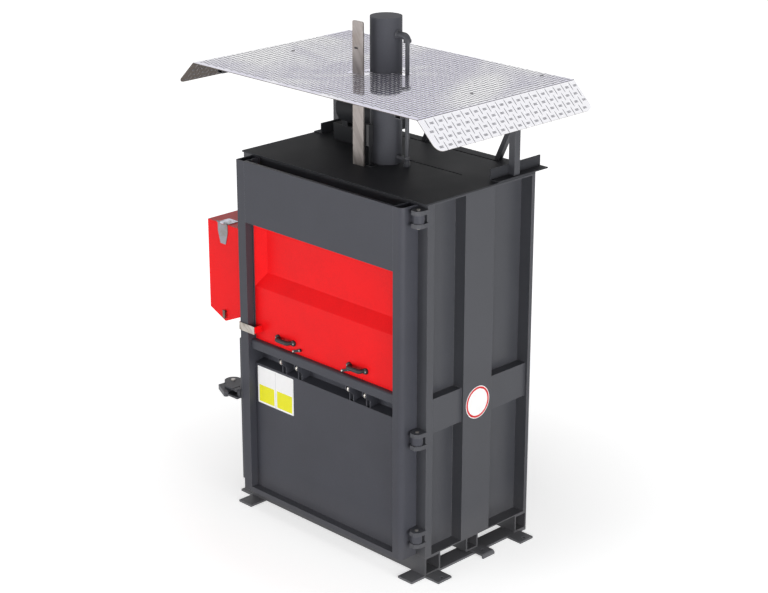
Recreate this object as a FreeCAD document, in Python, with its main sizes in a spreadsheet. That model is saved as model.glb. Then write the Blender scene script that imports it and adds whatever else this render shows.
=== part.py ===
"""Vertical recycling baler: welded body, front door with a rising gate, press platen and roof.

All sizes are millimetres.  +Z is up, -Y is the front, +X is to the right of someone
facing the door.  The origin is on the floor in the middle of the four corner anchor holes.
"""
import FreeCAD, Part
import math
import os
import re

doc = FreeCAD.newDocument("Baler")
sheet = doc.addObject("Spreadsheet::Sheet", "Sizes")

# name, value, what it is
SIZES = [
    ("body_width", 1348, "side to side over the posts"),
    ("body_depth", 780, "front to back"),
    ("body_height", 2000, "runner top to top plate top"),
    ("front_anchor_inset", 49, "front face to front anchor holes"),
    ("rear_anchor_inset", 99, "back face to rear anchor holes"),
    ("foot_thick", 12, "runners and feet"),
    ("foot_width", 98, "corner foot"),
    ("foot_reach", 95, "corner foot beyond the body side"),
    ("foot_hole_out", 70, "anchor hole beyond the body side"),
    ("foot_hole", 18, "anchor hole diameter"),
    ("runner_width", 100, "flat under the base tubes"),
    ("runner_front", 98, "runner beyond the front face"),
    ("mid_foot_width", 88, "middle foot"),
    ("mid_foot_back", 36, "middle foot behind the stiffener centre"),
    ("mid_foot_reach", 71, "middle foot beyond the body side"),
    ("mid_foot_thick", 10, "middle foot"),
    ("mid_hole_out", 24, "middle foot hole beyond the body side"),
    ("bend_out", 16, "outer radius of the rolled foot end"),
    ("tube_height", 100, "base tubes"),
    ("front_tube_depth", 112, "front base tube"),
    ("tube_depth", 90, "middle and rear base tubes"),
    ("tube_wall", 9, "base tubes"),
    ("mid_tube_short", 19, "middle tube end inside the body side"),
    ("floor_thick", 8, "chamber floor"),
    ("side_recess", 72, "side panel behind the post faces"),
    ("panel_thick", 6, "body sheets"),
    ("post_depth", 45, "front post, front to back"),
    ("post_wall", 5, "front post"),
    ("stiffener_width", 210, "vertical side channel"),
    ("stiffener_back", 8, "side channel centre behind the origin"),
    ("belt_low", 778, "belt bottom above the runner"),
    ("belt_height", 185, "horizontal side channel"),
    ("belt_setback", 14, "belt face behind the post faces"),
    ("rear_lip", 23, "rear post and rear channel depth"),
    ("rear_wall", 4, "rear post"),
    ("rear_channel_width", 150, "channel on the back"),
    ("rear_channel_apart", 600, "between the two rear channels"),
    ("lintel_height", 100, "tube above the chamber front"),
    ("top_thick", 8, "top plate"),
    ("top_overhang", 12, "top plate beyond the front face"),
    ("top_ledge", 76, "top plate beyond the back face"),
    ("lift_slot", 11, "slots across the top plate"),
    ("slot_front", 107, "front slot behind the origin"),
    ("slot_left", 232, "front slot end left of the cylinder axis"),
    ("slot_right", 450, "front slot end right of the cylinder axis"),
    ("slot_half", 424, "rear slot end to the middle"),
    ("cylinder_back", 20, "cylinder axis behind the origin"),
    ("cylinder_outer", 165, "cylinder tube"),
    ("cylinder_bore", 140, "cylinder bore"),
    ("cylinder_low", 40, "cylinder end below the top plate"),
    ("cylinder_high", 757, "cylinder end above the top plate"),
    ("cap_thick", 30, "cylinder end cap"),
    ("gland_length", 50, "rod guide in the cylinder"),
    ("flange_wide", 270, "cylinder flange"),
    ("flange_thick", 24, "cylinder flange"),
    ("rod_width", 90, "piston rod"),
    ("piston_length", 60, "piston"),
    ("slide_fit", 0.05, "radial gap of sliding round fits"),
    ("pass_gap", 3, "gap of pieces that pass through a plate"),
    ("platen_drop", 114, "platen top below the top plate, raised"),
    ("platen_height", 200, "platen"),
    ("platen_plate", 12, "platen plates"),
    ("platen_side_gap", 16, "platen to chamber wall"),
    ("platen_front_gap", 20, "platen to body front"),
    ("platen_edge", 100, "platen rim height"),
    ("platen_hub", 340, "square plate under the rod"),
    ("rod_foot_wide", 170, "rod flange"),
    ("rod_foot_thick", 18, "rod flange"),
    ("strap_width", 77, "position strap"),
    ("strap_thick", 8, "position strap"),
    ("strap_left", 46, "position strap centre left of the cylinder axis"),
    ("strap_front", 151, "position strap centre in front of the cylinder axis"),
    ("strap_high", 745, "position strap end above the top plate, raised"),
    ("elbow_drop", 84, "pressure port below the cylinder top"),
    ("elbow_wide", 44, "pressure elbow"),
    ("elbow_port", 34, "pressure port"),
    ("elbow_low", 30, "elbow end below the port axis"),
    ("pipe_wide", 22, "pressure pipe"),
    ("pipe_out", 151, "pressure pipe beside the cylinder axis"),
    ("union_wide", 32, "pipe union on the top plate"),
    ("union_high", 30, "pipe union on the top plate"),
    ("clamp_high", 34, "pipe clamp above the top plate"),
    ("clamp_thick", 16, "pipe clamp"),
    ("switch_wide", 34, "limit switch"),
    ("switch_deep", 30, "limit switch"),
    ("switch_low", 108, "switch head above the top plate"),
    ("switch_high", 219, "switch head top above the top plate"),
    ("switch_gap", 6, "switch to position strap"),
    ("tank_front", 122, "oil tank front behind the origin"),
    ("tank_right", 250, "oil tank end left of the cylinder axis"),
    ("tank_in", 112, "oil tank end inside the left top angle"),
    ("tank_high", 90, "oil tank"),
    ("tank_deep", 268, "oil tank"),
    ("tank_wall", 4, "oil tank"),
    ("motor_wide", 196, "motor drum"),
    ("motor_long", 300, "motor drum"),
    ("motor_up", 193, "motor axis above the top plate"),
    ("motor_back", 53, "motor axis behind the tank front"),
    ("motor_left", 436, "motor end left of the cylinder axis"),
    ("motor_foot", 40, "motor foot"),
    ("foot_left", 81, "left motor foot inside the tank end"),
    ("foot_right", 15, "right motor foot inside the tank end"),
    ("pump_wide", 120, "pump bell housing"),
    ("bell_long", 54, "pump bell housing and pump"),
    ("angle_front", 138, "top angle end behind the origin"),
    ("angle_past", 97, "top angle beyond the back face"),
    ("angle_leg", 60, "top angle legs"),
    ("angle_thick", 6, "top angle"),
    ("roof_post", 40, "roof post, square"),
    ("roof_post_back", 290, "roof post centre behind the origin"),
    ("roof_tube_wall", 3, "roof tubes"),
    ("roof_rail", 30, "roof rail height"),
    ("roof_up", 480, "roof sheet top above the top plate"),
    ("roof_thick", 3, "tread plate"),
    ("roof_flat_width", 1610, "flat part of the roof"),
    ("roof_flap_out", 133, "side flap, outward"),
    ("roof_flap_down", 128, "side flap, downward"),
    ("roof_front", 579, "roof front edge before the origin"),
    ("roof_back", 535, "roof back edge behind the origin"),
    ("roof_corner", 45, "rounded flap corner"),
    ("rail_in", 40, "rail end inside the roof edge"),
    ("brace_wide", 30, "roof brace"),
    ("brace_foot", 383, "outer brace foot from the middle"),
    ("brace_middle_left", 141, "middle brace foot left of the cylinder axis"),
    ("brace_lean", 222, "sideways run of a brace"),
    ("brace_back", 42, "braces behind the back face"),
    ("roof_bolt", 12, "roof bolt"),
    ("bolt_front", 33, "front roof bolts before the origin"),
    ("bolt_back", 481, "rear roof bolts behind the origin"),
    ("door_left_in", 73, "door left edge inside the body side"),
    ("door_right_in", 64, "door right edge inside the body side"),
    ("door_depth", 113, "door"),
    ("door_gap", 2, "door back to body front"),
    ("door_low", 103, "door bottom above the runner"),
    ("door_top_gap", 4, "door top to top plate"),
    ("stile_width", 60, "door upright"),
    ("stile_wall", 4, "door upright"),
    ("stile_round", 30, "front right corner of the door"),
    ("header_high", 332, "header"),
    ("header_sheet", 4, "header"),
    ("header_return", 14, "header folds"),
    ("panel_set_in", 45, "lower panel behind the door front"),
    ("door_sheet", 4, "lower panel"),
    ("rail_height", 28, "door bottom rail"),
    ("slot_low", 857, "strap slot bottom above the runner"),
    ("sill_low", 946, "sill bar bottom above the runner"),
    ("sill_height", 50, "sill bar"),
    ("sill_set_in", 20, "sill bar behind the door front"),
    ("sill_round", 14, "sill bar top front edge"),
    ("guide_gap", 23, "between the two plates of a strap guide"),
    ("guide_plate", 4, "strap guide"),
    ("guide_nose", 28, "strap guide ahead of its back part"),
    ("roller_wide", 30, "strap roller"),
    ("roller_drop", 20, "strap roller axis below the sill bar"),
    ("roller_pin", 10, "strap roller pin"),
    ("strap_1", -315, "strap guide from the door centre"),
    ("strap_2", -192, "strap guide from the door centre"),
    ("strap_3", 199, "strap guide from the door centre"),
    ("strap_4", 321, "strap guide from the door centre"),
    ("keeper_thick", 12, "flat on the door edge"),
    ("keeper_wide", 80, "flat on the door edge"),
    ("keeper_low", 162, "flat bottom above the runner"),
    ("keeper_high", 989, "flat top above the runner"),
    ("gate_side_gap", 3, "gate to door uprights"),
    ("gate_set_in", 50, "gate front behind the door front"),
    ("gate_deep", 49, "gate, front to back"),
    ("gate_sheet", 3, "gate"),
    ("gate_rest", 0.5, "gate above the sill bar"),
    ("gate_overlap", 32, "gate top above the header bottom"),
    ("gate_rim", 7, "flat beside the sunk panel"),
    ("pan_run", 50, "sideways run of a slanted cheek"),
    ("pan_low", 1295, "front foot of the slope above the runner"),
    ("pan_rise", 74, "rise of the slope"),
    ("rail_strip", 8, "gate guide strip width"),
    ("rail_thick", 4, "gate guide strip thickness"),
    ("rail_clear", 0.8, "gate guide strip to gate"),
    ("handle_long", 120, "between the two legs of a gate handle"),
    ("handle_out", 45, "gate handle"),
    ("handle_bar", 16, "gate handle bar"),
    ("handle_seat", 26, "gate handle seats"),
    ("handle_1", -297, "handle middle from the door centre"),
    ("handle_2", 246, "handle middle from the door centre"),
    ("handle_up", 1050, "handle height above the runner"),
    ("handle_bend", 18, "handle corner"),
    ("band_long", 118, "steel band on the gate tab"),
    ("band_high", 44, "steel band on the gate tab"),
    ("band_thick", 3.5, "steel band"),
    ("band_low", 1042, "steel band above the runner"),
    ("band_gap", 2.5, "steel band to door upright"),
    ("band_wrap", 46, "band beside the door upright"),
    ("tab_thick", 6, "gate tab"),
    ("lever_long", 55, "gate lever"),
    ("lever_wide", 14, "gate lever"),
    ("lever_thick", 5, "gate lever"),
    ("lever_gap", 0.5, "gate lever to gate"),
    ("lever_up", 1025, "lever pivot above the runner"),
    ("lever_tilt", 21, "degrees that the lever tips hang down"),
    ("lever_1", -185.5, "lever pivot from the door centre"),
    ("lever_2", 185.5, "lever pivot from the door centre"),
    ("hinge_in", 24, "door pivot inside the body side"),
    ("hinge_front", 40, "door pivot ahead of the body front"),
    ("hinge_round", 35, "hinge ear"),
    ("hinge_high", 88, "hinge"),
    ("ear_thick", 22, "hinge ear"),
    ("hinge_plate", 5, "hinge back plate"),
    ("knuckle_round", 29, "door knuckle"),
    ("knuckle_gap", 0.5, "knuckle to ears"),
    ("hinge_pin", 20, "hinge pin"),
    ("pin_out", 9, "hinge pin below the lower ear"),
    ("hinge_1", 223, "lowest hinge above the runner"),
    ("hinge_2", 769, "middle hinge above the runner"),
    ("hinge_3", 55, "highest hinge below the door top"),
    ("claw_out", 61, "claw pivot outside the body side"),
    ("claw_front", 65, "claw pivot ahead of the body front"),
    ("claw_round", 48, "outer end of the latch plates"),
    ("claw_hub", 60, "claw boss"),
    ("claw_arm", 22, "claw arm"),
    ("claw_plate", 12, "latch plates and door lugs"),
    ("claw_apart", 55, "lower plate bottom to upper plate top"),
    ("claw_play", 2, "claw to latch plates"),
    ("claw_low", 638, "latch plates above the runner"),
    ("claw_pin", 24, "claw pivot pin"),
    ("claw_gap", 0.3, "claw to catch pin, latched"),
    ("claw_open", 25, "degrees from latched to free"),
    ("catch_pin", 20, "catch pin"),
    ("catch_out", 14, "catch pin outside the door flat"),
    ("catch_front", 2, "catch pin ahead of the door front"),
    ("catch_lug", 70, "door lugs, front to back"),
    ("latch_clear", 5, "latch plates to door lugs"),
    ("box_width", 250, "control box"),
    ("box_deep", 250, "control box"),
    ("box_front", 50, "control box ahead of the body front"),
    ("box_top", 1576, "control box top above the runner"),
    ("box_side_low", 1073, "control box side bottom above the runner"),
    ("box_point_low", 1018, "control box lowest point above the runner"),
    ("box_sheet", 2, "control box"),
    ("box_lip", 14, "control box front rim"),
    ("lid_gap", 0.3, "lid to control box"),
    ("leaf_wide", 80, "lid hinge leaf"),
    ("leaf_tail", 42, "narrow end of the lid hinge leaf"),
    ("leaf_back", 75, "lid hinge leaf on the box top"),
    ("leaf_down", 113, "lid hinge leaf on the lid"),
    ("leaf_thick", 3, "lid hinge leaf"),
    ("barrel", 10, "lid hinge barrel"),
    ("barrel_pin", 5, "lid hinge pin"),
    ("lock_wide", 18, "lid lock"),
    ("lock_up", 57, "lid lock above the lowest point of the box"),
    ("lock_handle", 56, "lid lock handle"),
    ("control_plate_back", 55, "button plate behind the box front"),
    ("control_plate_high", 300, "button plate"),
    ("button_wide", 34, "push button head"),
    ("button_stem", 22, "push button stem"),
    ("button_out", 10, "push button head ahead of the plate"),
    ("button_press", 5, "push button travel"),
    ("button_apart", 90, "between the two buttons"),
    ("rod_behind", 25, "strap rod behind the back face"),
    ("strap_rod", 14, "strap rod"),
    ("strap_rod_up", 823, "strap rod above the runner"),
    ("strap_rod_in", 34, "strap rod end inside the body side"),
]

for row, (name, number, note) in enumerate(SIZES, start=1):
    sheet.set("A%d" % row, name)
    sheet.set("B%d" % row, str(number))
    sheet.setAlias("B%d" % row, name)
    sheet.set("C%d" % row, note)
doc.recompute()

KNOWN = {name for name, number, note in SIZES}
WORD = re.compile(r"[a-z][a-z_0-9]*")


def bound(text):
    """The expression with every named size pointing at its cell."""
    return WORD.sub(lambda hit: "Sizes." + hit.group(0) if hit.group(0) in KNOWN else hit.group(0), str(text))


def value(text):
    """The number that an expression gives."""
    return float(sheet.evalExpression(bound(text)))


# Planes that many pieces share.
SIDE = "(body_width / 2)"
FRONT = "(0 - (body_depth - front_anchor_inset - rear_anchor_inset) / 2 - front_anchor_inset)"
BACK = f"({FRONT} + body_depth)"
TOP = "(foot_thick + body_height)"
TOP_UNDER = f"({TOP} - top_thick)"
FLOOR_LOW = "(foot_thick + tube_height)"
FLOOR_TOP = f"({FLOOR_LOW} + floor_thick)"
PANEL_OUT = f"({SIDE} - side_recess)"
PANEL_IN = f"({PANEL_OUT} - panel_thick)"
REAR_FLANK = f"({BACK} - rear_lip)"
REAR_IN = f"({REAR_FLANK} - panel_thick)"
STIFF_FRONT = "(stiffener_back - stiffener_width / 2)"
STIFF_BACK = "(stiffener_back + stiffener_width / 2)"
ANCHOR_X = f"({SIDE} + foot_hole_out)"
ANCHOR_Y = "((body_depth - front_anchor_inset - rear_anchor_inset) / 2)"
DOOR_BACK = f"({FRONT} - door_gap)"
DOOR_FRONT = f"({DOOR_BACK} - door_depth)"
DOOR_LEFT = f"(door_left_in - {SIDE})"
DOOR_RIGHT = f"({SIDE} - door_right_in)"
DOOR_MID = f"(({DOOR_LEFT} + {DOOR_RIGHT}) / 2)"
DOOR_LOW = "(foot_thick + door_low)"
DOOR_TOP = f"({TOP_UNDER} - door_top_gap)"
HEADER_LOW = f"({DOOR_TOP} - header_high)"
BAY_LEFT = f"({DOOR_LEFT} + stile_width)"
BAY_RIGHT = f"({DOOR_RIGHT} - stile_width)"
SILL_LOW = "(foot_thick + sill_low)"
SILL_TOP = f"({SILL_LOW} + sill_height)"
SILL_FRONT = f"({DOOR_FRONT} + sill_set_in)"
PANEL_FRONT = f"({DOOR_FRONT} + panel_set_in)"
PANEL_REAR = f"({PANEL_FRONT} + door_sheet)"
GATE_FRONT = f"({DOOR_FRONT} + gate_set_in)"
GATE_BACK = f"({GATE_FRONT} + gate_deep)"
GATE_LEFT = f"({BAY_LEFT} + gate_side_gap)"
GATE_RIGHT = f"({BAY_RIGHT} - gate_side_gap)"
GATE_LOW = f"({SILL_TOP} + gate_rest)"
GATE_TOP = f"({HEADER_LOW} + gate_overlap)"
HINGE_X = f"({SIDE} - hinge_in)"
HINGE_Y = f"({FRONT} - hinge_front)"
PLATEN_TOP = f"({TOP_UNDER} - platen_drop)"
PLATEN_LOW = f"({PLATEN_TOP} - platen_height)"
ROOF_TOP = f"({TOP} + roof_up)"
ROOF_UNDER = f"({ROOF_TOP} - roof_thick)"
RAIL_LOW = f"({ROOF_UNDER} - roof_rail)"
RAIL_IN = f"({SIDE} - angle_leg + angle_thick)"
STRAP_Y = "(cylinder_back - strap_front)"
CLAW_X = f"(0 - {SIDE} - claw_out)"
CLAW_Y = f"({FRONT} - claw_front)"
KEEPER_OUT = f"({DOOR_LEFT} - keeper_thick)"
BOX_RIGHT = f"(0 - {SIDE})"
BOX_LEFT = f"({BOX_RIGHT} - box_width)"
BOX_MID = f"({BOX_RIGHT} - box_width / 2)"
BOX_FRONT = f"({FRONT} - box_front)"
BOX_BACK = f"({BOX_FRONT} + box_deep)"
BOX_TOP = "(foot_thick + box_top)"
LID_BACK = f"({BOX_FRONT} - lid_gap)"
LID_FRONT = f"({LID_BACK} - box_sheet)"
STRAPS = ["strap_1", "strap_2", "strap_3", "strap_4"]
HINGES = {"hinge_1": "(foot_thick + hinge_1)", "hinge_2": "(foot_thick + hinge_2)", "hinge_3": f"({DOOR_TOP} - hinge_3)"}


# ---- building operations -----------------------------------------------------------------

def block(name, x, y, z):
    """A box between two planes on each axis."""
    item = doc.addObject("Part::Box", name)
    for axis, side, span in (("x", "Length", x), ("y", "Width", y), ("z", "Height", z)):
        item.setExpression("Placement.Base." + axis, bound(span[0]))
        item.setExpression(side, bound("(%s) - (%s)" % (span[1], span[0])))
    return item


def rod(name, axis, centre, width, span):
    """A round bar along x, y or z; centre gives the other two coordinates in order."""
    item = doc.addObject("Part::Cylinder", name)
    item.setExpression("Radius", bound("(%s) / 2" % width))
    item.setExpression("Height", bound("(%s) - (%s)" % (span[1], span[0])))
    turn = {"x": (FreeCAD.Vector(0, 1, 0), 90), "y": (FreeCAD.Vector(1, 0, 0), -90), "z": (FreeCAD.Vector(0, 0, 1), 0)}
    item.Placement = FreeCAD.Placement(FreeCAD.Vector(), FreeCAD.Rotation(*turn[axis]))
    places = list(centre)
    places.insert("xyz".index(axis), span[0])
    for letter, place in zip("xyz", places):
        item.setExpression("Placement.Base." + letter, bound(place))
    return item


def origin_plane(body, role):
    """One of a body's own origin planes."""
    return [item for item in body.Origin.OriginFeatures if item.Role == role][0]


def drawing(body, name, plane, loops):
    """A sketch of closed polygons whose corners are all driven by expressions."""
    sketch = body.newObject("Sketcher::SketchObject", name)
    sketch.AttachmentSupport = [(origin_plane(body, plane), "")]
    sketch.MapMode = "FlatFace"
    first = 0
    for loop in loops:
        spots = [FreeCAD.Vector(value(u), value(v), 0) for u, v in loop]
        count = len(spots)
        for step in range(count):
            sketch.addGeometry(Part.LineSegment(spots[step], spots[(step + 1) % count]), False)
        for step in range(count):
            after = first + (step + 1) % count
            sketch.addConstraint(Sketcher.Constraint("Coincident", first + step, 2, after, 1))
        for step, (u, v) in enumerate(loop):
            for kind, text in (("DistanceX", u), ("DistanceY", v)):
                rule = sketch.addConstraint(Sketcher.Constraint(kind, -1, 1, first + step, 1, value(text)))
                sketch.setExpression("Constraints[%d]" % rule, bound(text))
        first += count
    return sketch


def padded(name, plane, loop, span):
    """A profile in the XY, XZ or YZ plane, padded between two planes on the third axis."""
    body = doc.addObject("PartDesign::Body", name)
    sketch = drawing(body, name + "_profile", plane + "_Plane", [loop])
    pad = body.newObject("PartDesign::Pad", name + "_pad")
    pad.Profile = sketch
    pad.setExpression("Length", bound("(%s) - (%s)" % (span[1], span[0])))
    pad.Reversed = plane == "XZ"
    sketch.Visibility = False
    body.setExpression("Placement.Base." + {"XY": "z", "XZ": "y", "YZ": "x"}[plane], bound(span[0]))
    return body


def prism(name, axis, centre, wide, sides, span):
    """A straight bar whose section is a regular polygon, measured across its flats."""
    far = 0.5 / math.cos(math.pi / sides)
    loop = []
    for step in range(sides):
        turn = math.pi * (2 * step + 1) / sides
        corner = []
        for middle, part in zip(centre, (math.cos(turn), math.sin(turn))):
            corner.append(f"{middle} {'-' if part < 0 else '+'} {wide} * {abs(far * part):.5f}")
        loop.append(tuple(corner))
    return padded(name, {"x": "YZ", "y": "XZ", "z": "XY"}[axis], loop, span)


def turned(name, loop, x, y):
    """A profile of radius and height turned about a vertical axis."""
    body = doc.addObject("PartDesign::Body", name)
    sketch = drawing(body, name + "_profile", "XZ_Plane", [loop])
    turn = body.newObject("PartDesign::Revolution", name + "_turn")
    turn.Profile = sketch
    turn.ReferenceAxis = (sketch, ["V_Axis"])
    turn.Angle = 360
    body.setExpression("Placement.Base.x", bound(x))
    body.setExpression("Placement.Base.y", bound(y))
    return body


def joined(name, parts):
    """Several shapes that are one piece of metal."""
    item = doc.addObject("Part::MultiFuse", name)
    item.Shapes = parts
    item.Refine = True
    return item


def without(name, base, tools):
    """A shape with others taken out of it."""
    tool = tools[0]
    if len(tools) > 1:
        tool = doc.addObject("Part::MultiFuse", name + "_tools")
        tool.Shapes = tools
    item = doc.addObject("Part::Cut", name)
    item.Base = base
    item.Tool = tool
    return item


def mirrored(name, base):
    """The same piece on the other side of the body."""
    item = doc.addObject("Part::Mirroring", name)
    item.Source = base
    item.Base = FreeCAD.Vector(0, 0, 0)
    item.Normal = FreeCAD.Vector(1, 0, 0)
    return item


def grouped(name, parts):
    """Separate pieces of one kind kept together."""
    item = doc.addObject("Part::Compound", name)
    item.Links = parts
    return item


def pair(name, base):
    """A piece and its mirror image."""
    return grouped(name, [base, mirrored(name + "_other", base)])


def rounded(name, base, picks):
    """Fillets; each pick is (direction, x, y, z, radius), with None for a free coordinate."""
    doc.recompute()
    chosen = []
    for index, edge in enumerate(base.Shape.Edges, start=1):
        start, end = edge.Vertexes[0].Point, edge.Vertexes[-1].Point
        middle = (start + end) * 0.5
        for way, x, y, z, radius in picks:
            run = end - start
            along = run.Length > 1 and abs(abs(getattr(run, way)) - run.Length) < 0.01
            wanted = [x, y, z]
            near = all(w is None or abs(value(w) - m) < 0.02 for w, m in zip(wanted, middle))
            if along and near:
                chosen.append((index, value(radius), value(radius)))
    item = doc.addObject("Part::Fillet", name)
    item.Base = base
    item.Edges = chosen
    return item


def square_tube(name, x, y, z, wall, way):
    """A straight rectangular tube, open at both ends along one axis."""
    outer = block(name + "_outer", x, y, z)
    spans = {"x": x, "y": y, "z": z}
    inner = {}
    for letter, span in spans.items():
        if letter == way:
            inner[letter] = (f"{span[0]} - 1", f"{span[1]} + 1")
        else:
            inner[letter] = (f"{span[0]} + {wall}", f"{span[1]} - {wall}")
    bore = block(name + "_bore", inner["x"], inner["y"], inner["z"])
    return without(name, outer, [bore])


import Sketcher


# ---- base ----------------------------------------------------------------------------------

def base_runners():
    """Two flats that carry the whole machine and run out in front of it."""
    side = (f"{SIDE} - runner_width", SIDE)
    return pair("base_runners", block("runner", side, (f"{FRONT} - runner_front", BACK), ("0", "foot_thick")))


def corner_feet():
    """Four drilled anchor plates welded to the outer edges of the runners."""
    feet = []
    for end, sign in (("front", "0 - "), ("rear", "")):
        y = f"({sign}{ANCHOR_Y})"
        plate = block("foot_" + end, (SIDE, f"{SIDE} + foot_reach"),
                      (f"{y} - foot_width / 2", f"{y} + foot_width / 2"), ("0", "foot_thick"))
        hole = rod("foot_hole_" + end, "z", (ANCHOR_X, y), "foot_hole", ("-1", "foot_thick + 1"))
        drilled = without("foot_drilled_" + end, plate, [hole])
        feet += [drilled, mirrored("foot_left_" + end, drilled)]
    return grouped("corner_feet", feet)


def middle_feet():
    """Two wider plates on top of the runners, rolled down to the floor at the outer end."""
    inner = f"{SIDE} - runner_width"
    outer = f"{SIDE} + mid_foot_reach"
    low, high = "foot_thick", "foot_thick + mid_foot_thick"
    loop = [(inner, low), (f"{outer} - mid_foot_thick", low), (f"{outer} - mid_foot_thick", "0"),
            (outer, "0"), (outer, high), (inner, high)]
    centre = "(stiffener_back + mid_foot_back)"
    strip = padded("mid_foot", "XZ", loop, (f"{centre} - mid_foot_width / 2", f"{centre} + mid_foot_width / 2"))
    bent = rounded("mid_foot_bent", strip, [
        ("y", outer, None, high, "bend_out"),
        ("y", f"{outer} - mid_foot_thick", None, low, "bend_out - mid_foot_thick")])
    hole = rod("mid_foot_hole", "z", (f"{SIDE} + mid_hole_out", centre), "foot_hole", ("0", "foot_thick * 3"))
    return pair("middle_feet", without("mid_foot_drilled", bent, [hole]))


def base_tubes():
    """Three open-ended cross tubes; fork tines go between them."""
    x = (f"0 - {SIDE}", SIDE)
    front = square_tube("tube_front", x, (FRONT, f"{FRONT} + front_tube_depth"),
                        ("foot_thick", FLOOR_LOW), "tube_wall", "x")
    rear = square_tube("tube_rear", x, (f"{BACK} - tube_depth", BACK), ("foot_thick", FLOOR_LOW), "tube_wall", "x")
    inner = (f"0 - {SIDE} + mid_tube_short", f"{SIDE} - mid_tube_short")
    middle = square_tube("tube_middle", inner, ("stiffener_back - tube_depth / 2", "stiffener_back + tube_depth / 2"),
                         ("foot_thick + mid_foot_thick", FLOOR_LOW), "tube_wall", "x")
    return grouped("base_tubes", [front, middle, rear])


# ---- body ----------------------------------------------------------------------------------

def floor_plate():
    """The chamber floor."""
    return block("floor_plate", (f"0 - {PANEL_IN}", PANEL_IN), (FRONT, REAR_IN), (FLOOR_LOW, FLOOR_TOP))


def side_panel():
    """A side sheet with its bottom ledges and top flanges welded on between the uprights."""
    parts = [block("side_web", (PANEL_IN, PANEL_OUT), (FRONT, REAR_FLANK), (FLOOR_LOW, TOP_UNDER))]
    spans = [(f"{FRONT} + post_depth", STIFF_FRONT), (STIFF_BACK, REAR_FLANK)]
    levels = [(FLOOR_LOW, f"{FLOOR_LOW} + panel_thick"), (f"{TOP_UNDER} - panel_thick", TOP_UNDER)]
    for a, y in enumerate(spans):
        for b, z in enumerate(levels):
            parts.append(block("side_flange_%d%d" % (a, b), (PANEL_OUT, SIDE), y, z))
    return grouped("side_panel_right", parts)


def front_posts():
    """The two square uprights beside the chamber mouth."""
    post = square_tube("front_post", (PANEL_OUT, SIDE), (FRONT, f"{FRONT} + post_depth"),
                       (FLOOR_LOW, TOP_UNDER), "post_wall", "z")
    return pair("front_posts", post)


def side_stiffeners():
    """The full-height channel on each side."""
    sheet_in = f"{SIDE} - panel_thick"
    loop = [(PANEL_OUT, STIFF_FRONT), (SIDE, STIFF_FRONT), (SIDE, STIFF_BACK), (PANEL_OUT, STIFF_BACK),
            (PANEL_OUT, f"{STIFF_BACK} - panel_thick"), (sheet_in, f"{STIFF_BACK} - panel_thick"),
            (sheet_in, f"{STIFF_FRONT} + panel_thick"), (PANEL_OUT, f"{STIFF_FRONT} + panel_thick")]
    return pair("side_stiffeners", padded("side_channel", "XY", loop, (FLOOR_LOW, TOP_UNDER)))


def side_belts():
    """The horizontal channels between the uprights, two on each side."""
    low, high = "(foot_thick + belt_low)", "(foot_thick + belt_low + belt_height)"
    face = f"({SIDE} - belt_setback)"
    loop = [(PANEL_OUT, low), (face, low), (face, high), (PANEL_OUT, high),
            (PANEL_OUT, f"{high} - panel_thick"), (f"{face} - panel_thick", f"{high} - panel_thick"),
            (f"{face} - panel_thick", f"{low} + panel_thick"), (PANEL_OUT, f"{low} + panel_thick")]
    front = padded("belt_front", "XZ", loop, (f"{FRONT} + post_depth", STIFF_FRONT))
    rear = padded("belt_rear", "XZ", loop, (STIFF_BACK, REAR_FLANK))
    return grouped("side_belts", [front, mirrored("belt_front_left", front), rear, mirrored("belt_rear_left", rear)])


def rear_posts():
    """The shallow tubes at the back corners."""
    post = square_tube("rear_post", (PANEL_OUT, SIDE), (REAR_FLANK, BACK), (FLOOR_LOW, TOP_UNDER), "rear_wall", "z")
    return pair("rear_posts", post)


def rear_panel():
    """The back sheet of the chamber."""
    return block("rear_panel", (f"0 - {PANEL_IN}", PANEL_IN), (REAR_IN, REAR_FLANK), (FLOOR_LOW, TOP_UNDER))


def rear_stiffeners():
    """Two shallow vertical channels on the back sheet."""
    centre = "rear_channel_apart / 2"
    left, right = f"({centre} - rear_channel_width / 2)", f"({centre} + rear_channel_width / 2)"
    loop = [(left, REAR_FLANK), (f"{left} + rear_wall", REAR_FLANK), (f"{left} + rear_wall", f"{BACK} - rear_wall"),
            (f"{right} - rear_wall", f"{BACK} - rear_wall"), (f"{right} - rear_wall", REAR_FLANK),
            (right, REAR_FLANK), (right, BACK), (left, BACK)]
    return pair("rear_stiffeners", padded("rear_channel", "XY", loop, (FLOOR_LOW, TOP_UNDER)))


def front_lintel():
    """The tube across the chamber mouth under the top plate."""
    return square_tube("front_lintel", (f"0 - {PANEL_IN}", PANEL_IN), (FRONT, f"{FRONT} + post_depth"),
                       (f"{TOP_UNDER} - lintel_height", TOP_UNDER), "post_wall", "x")


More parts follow.
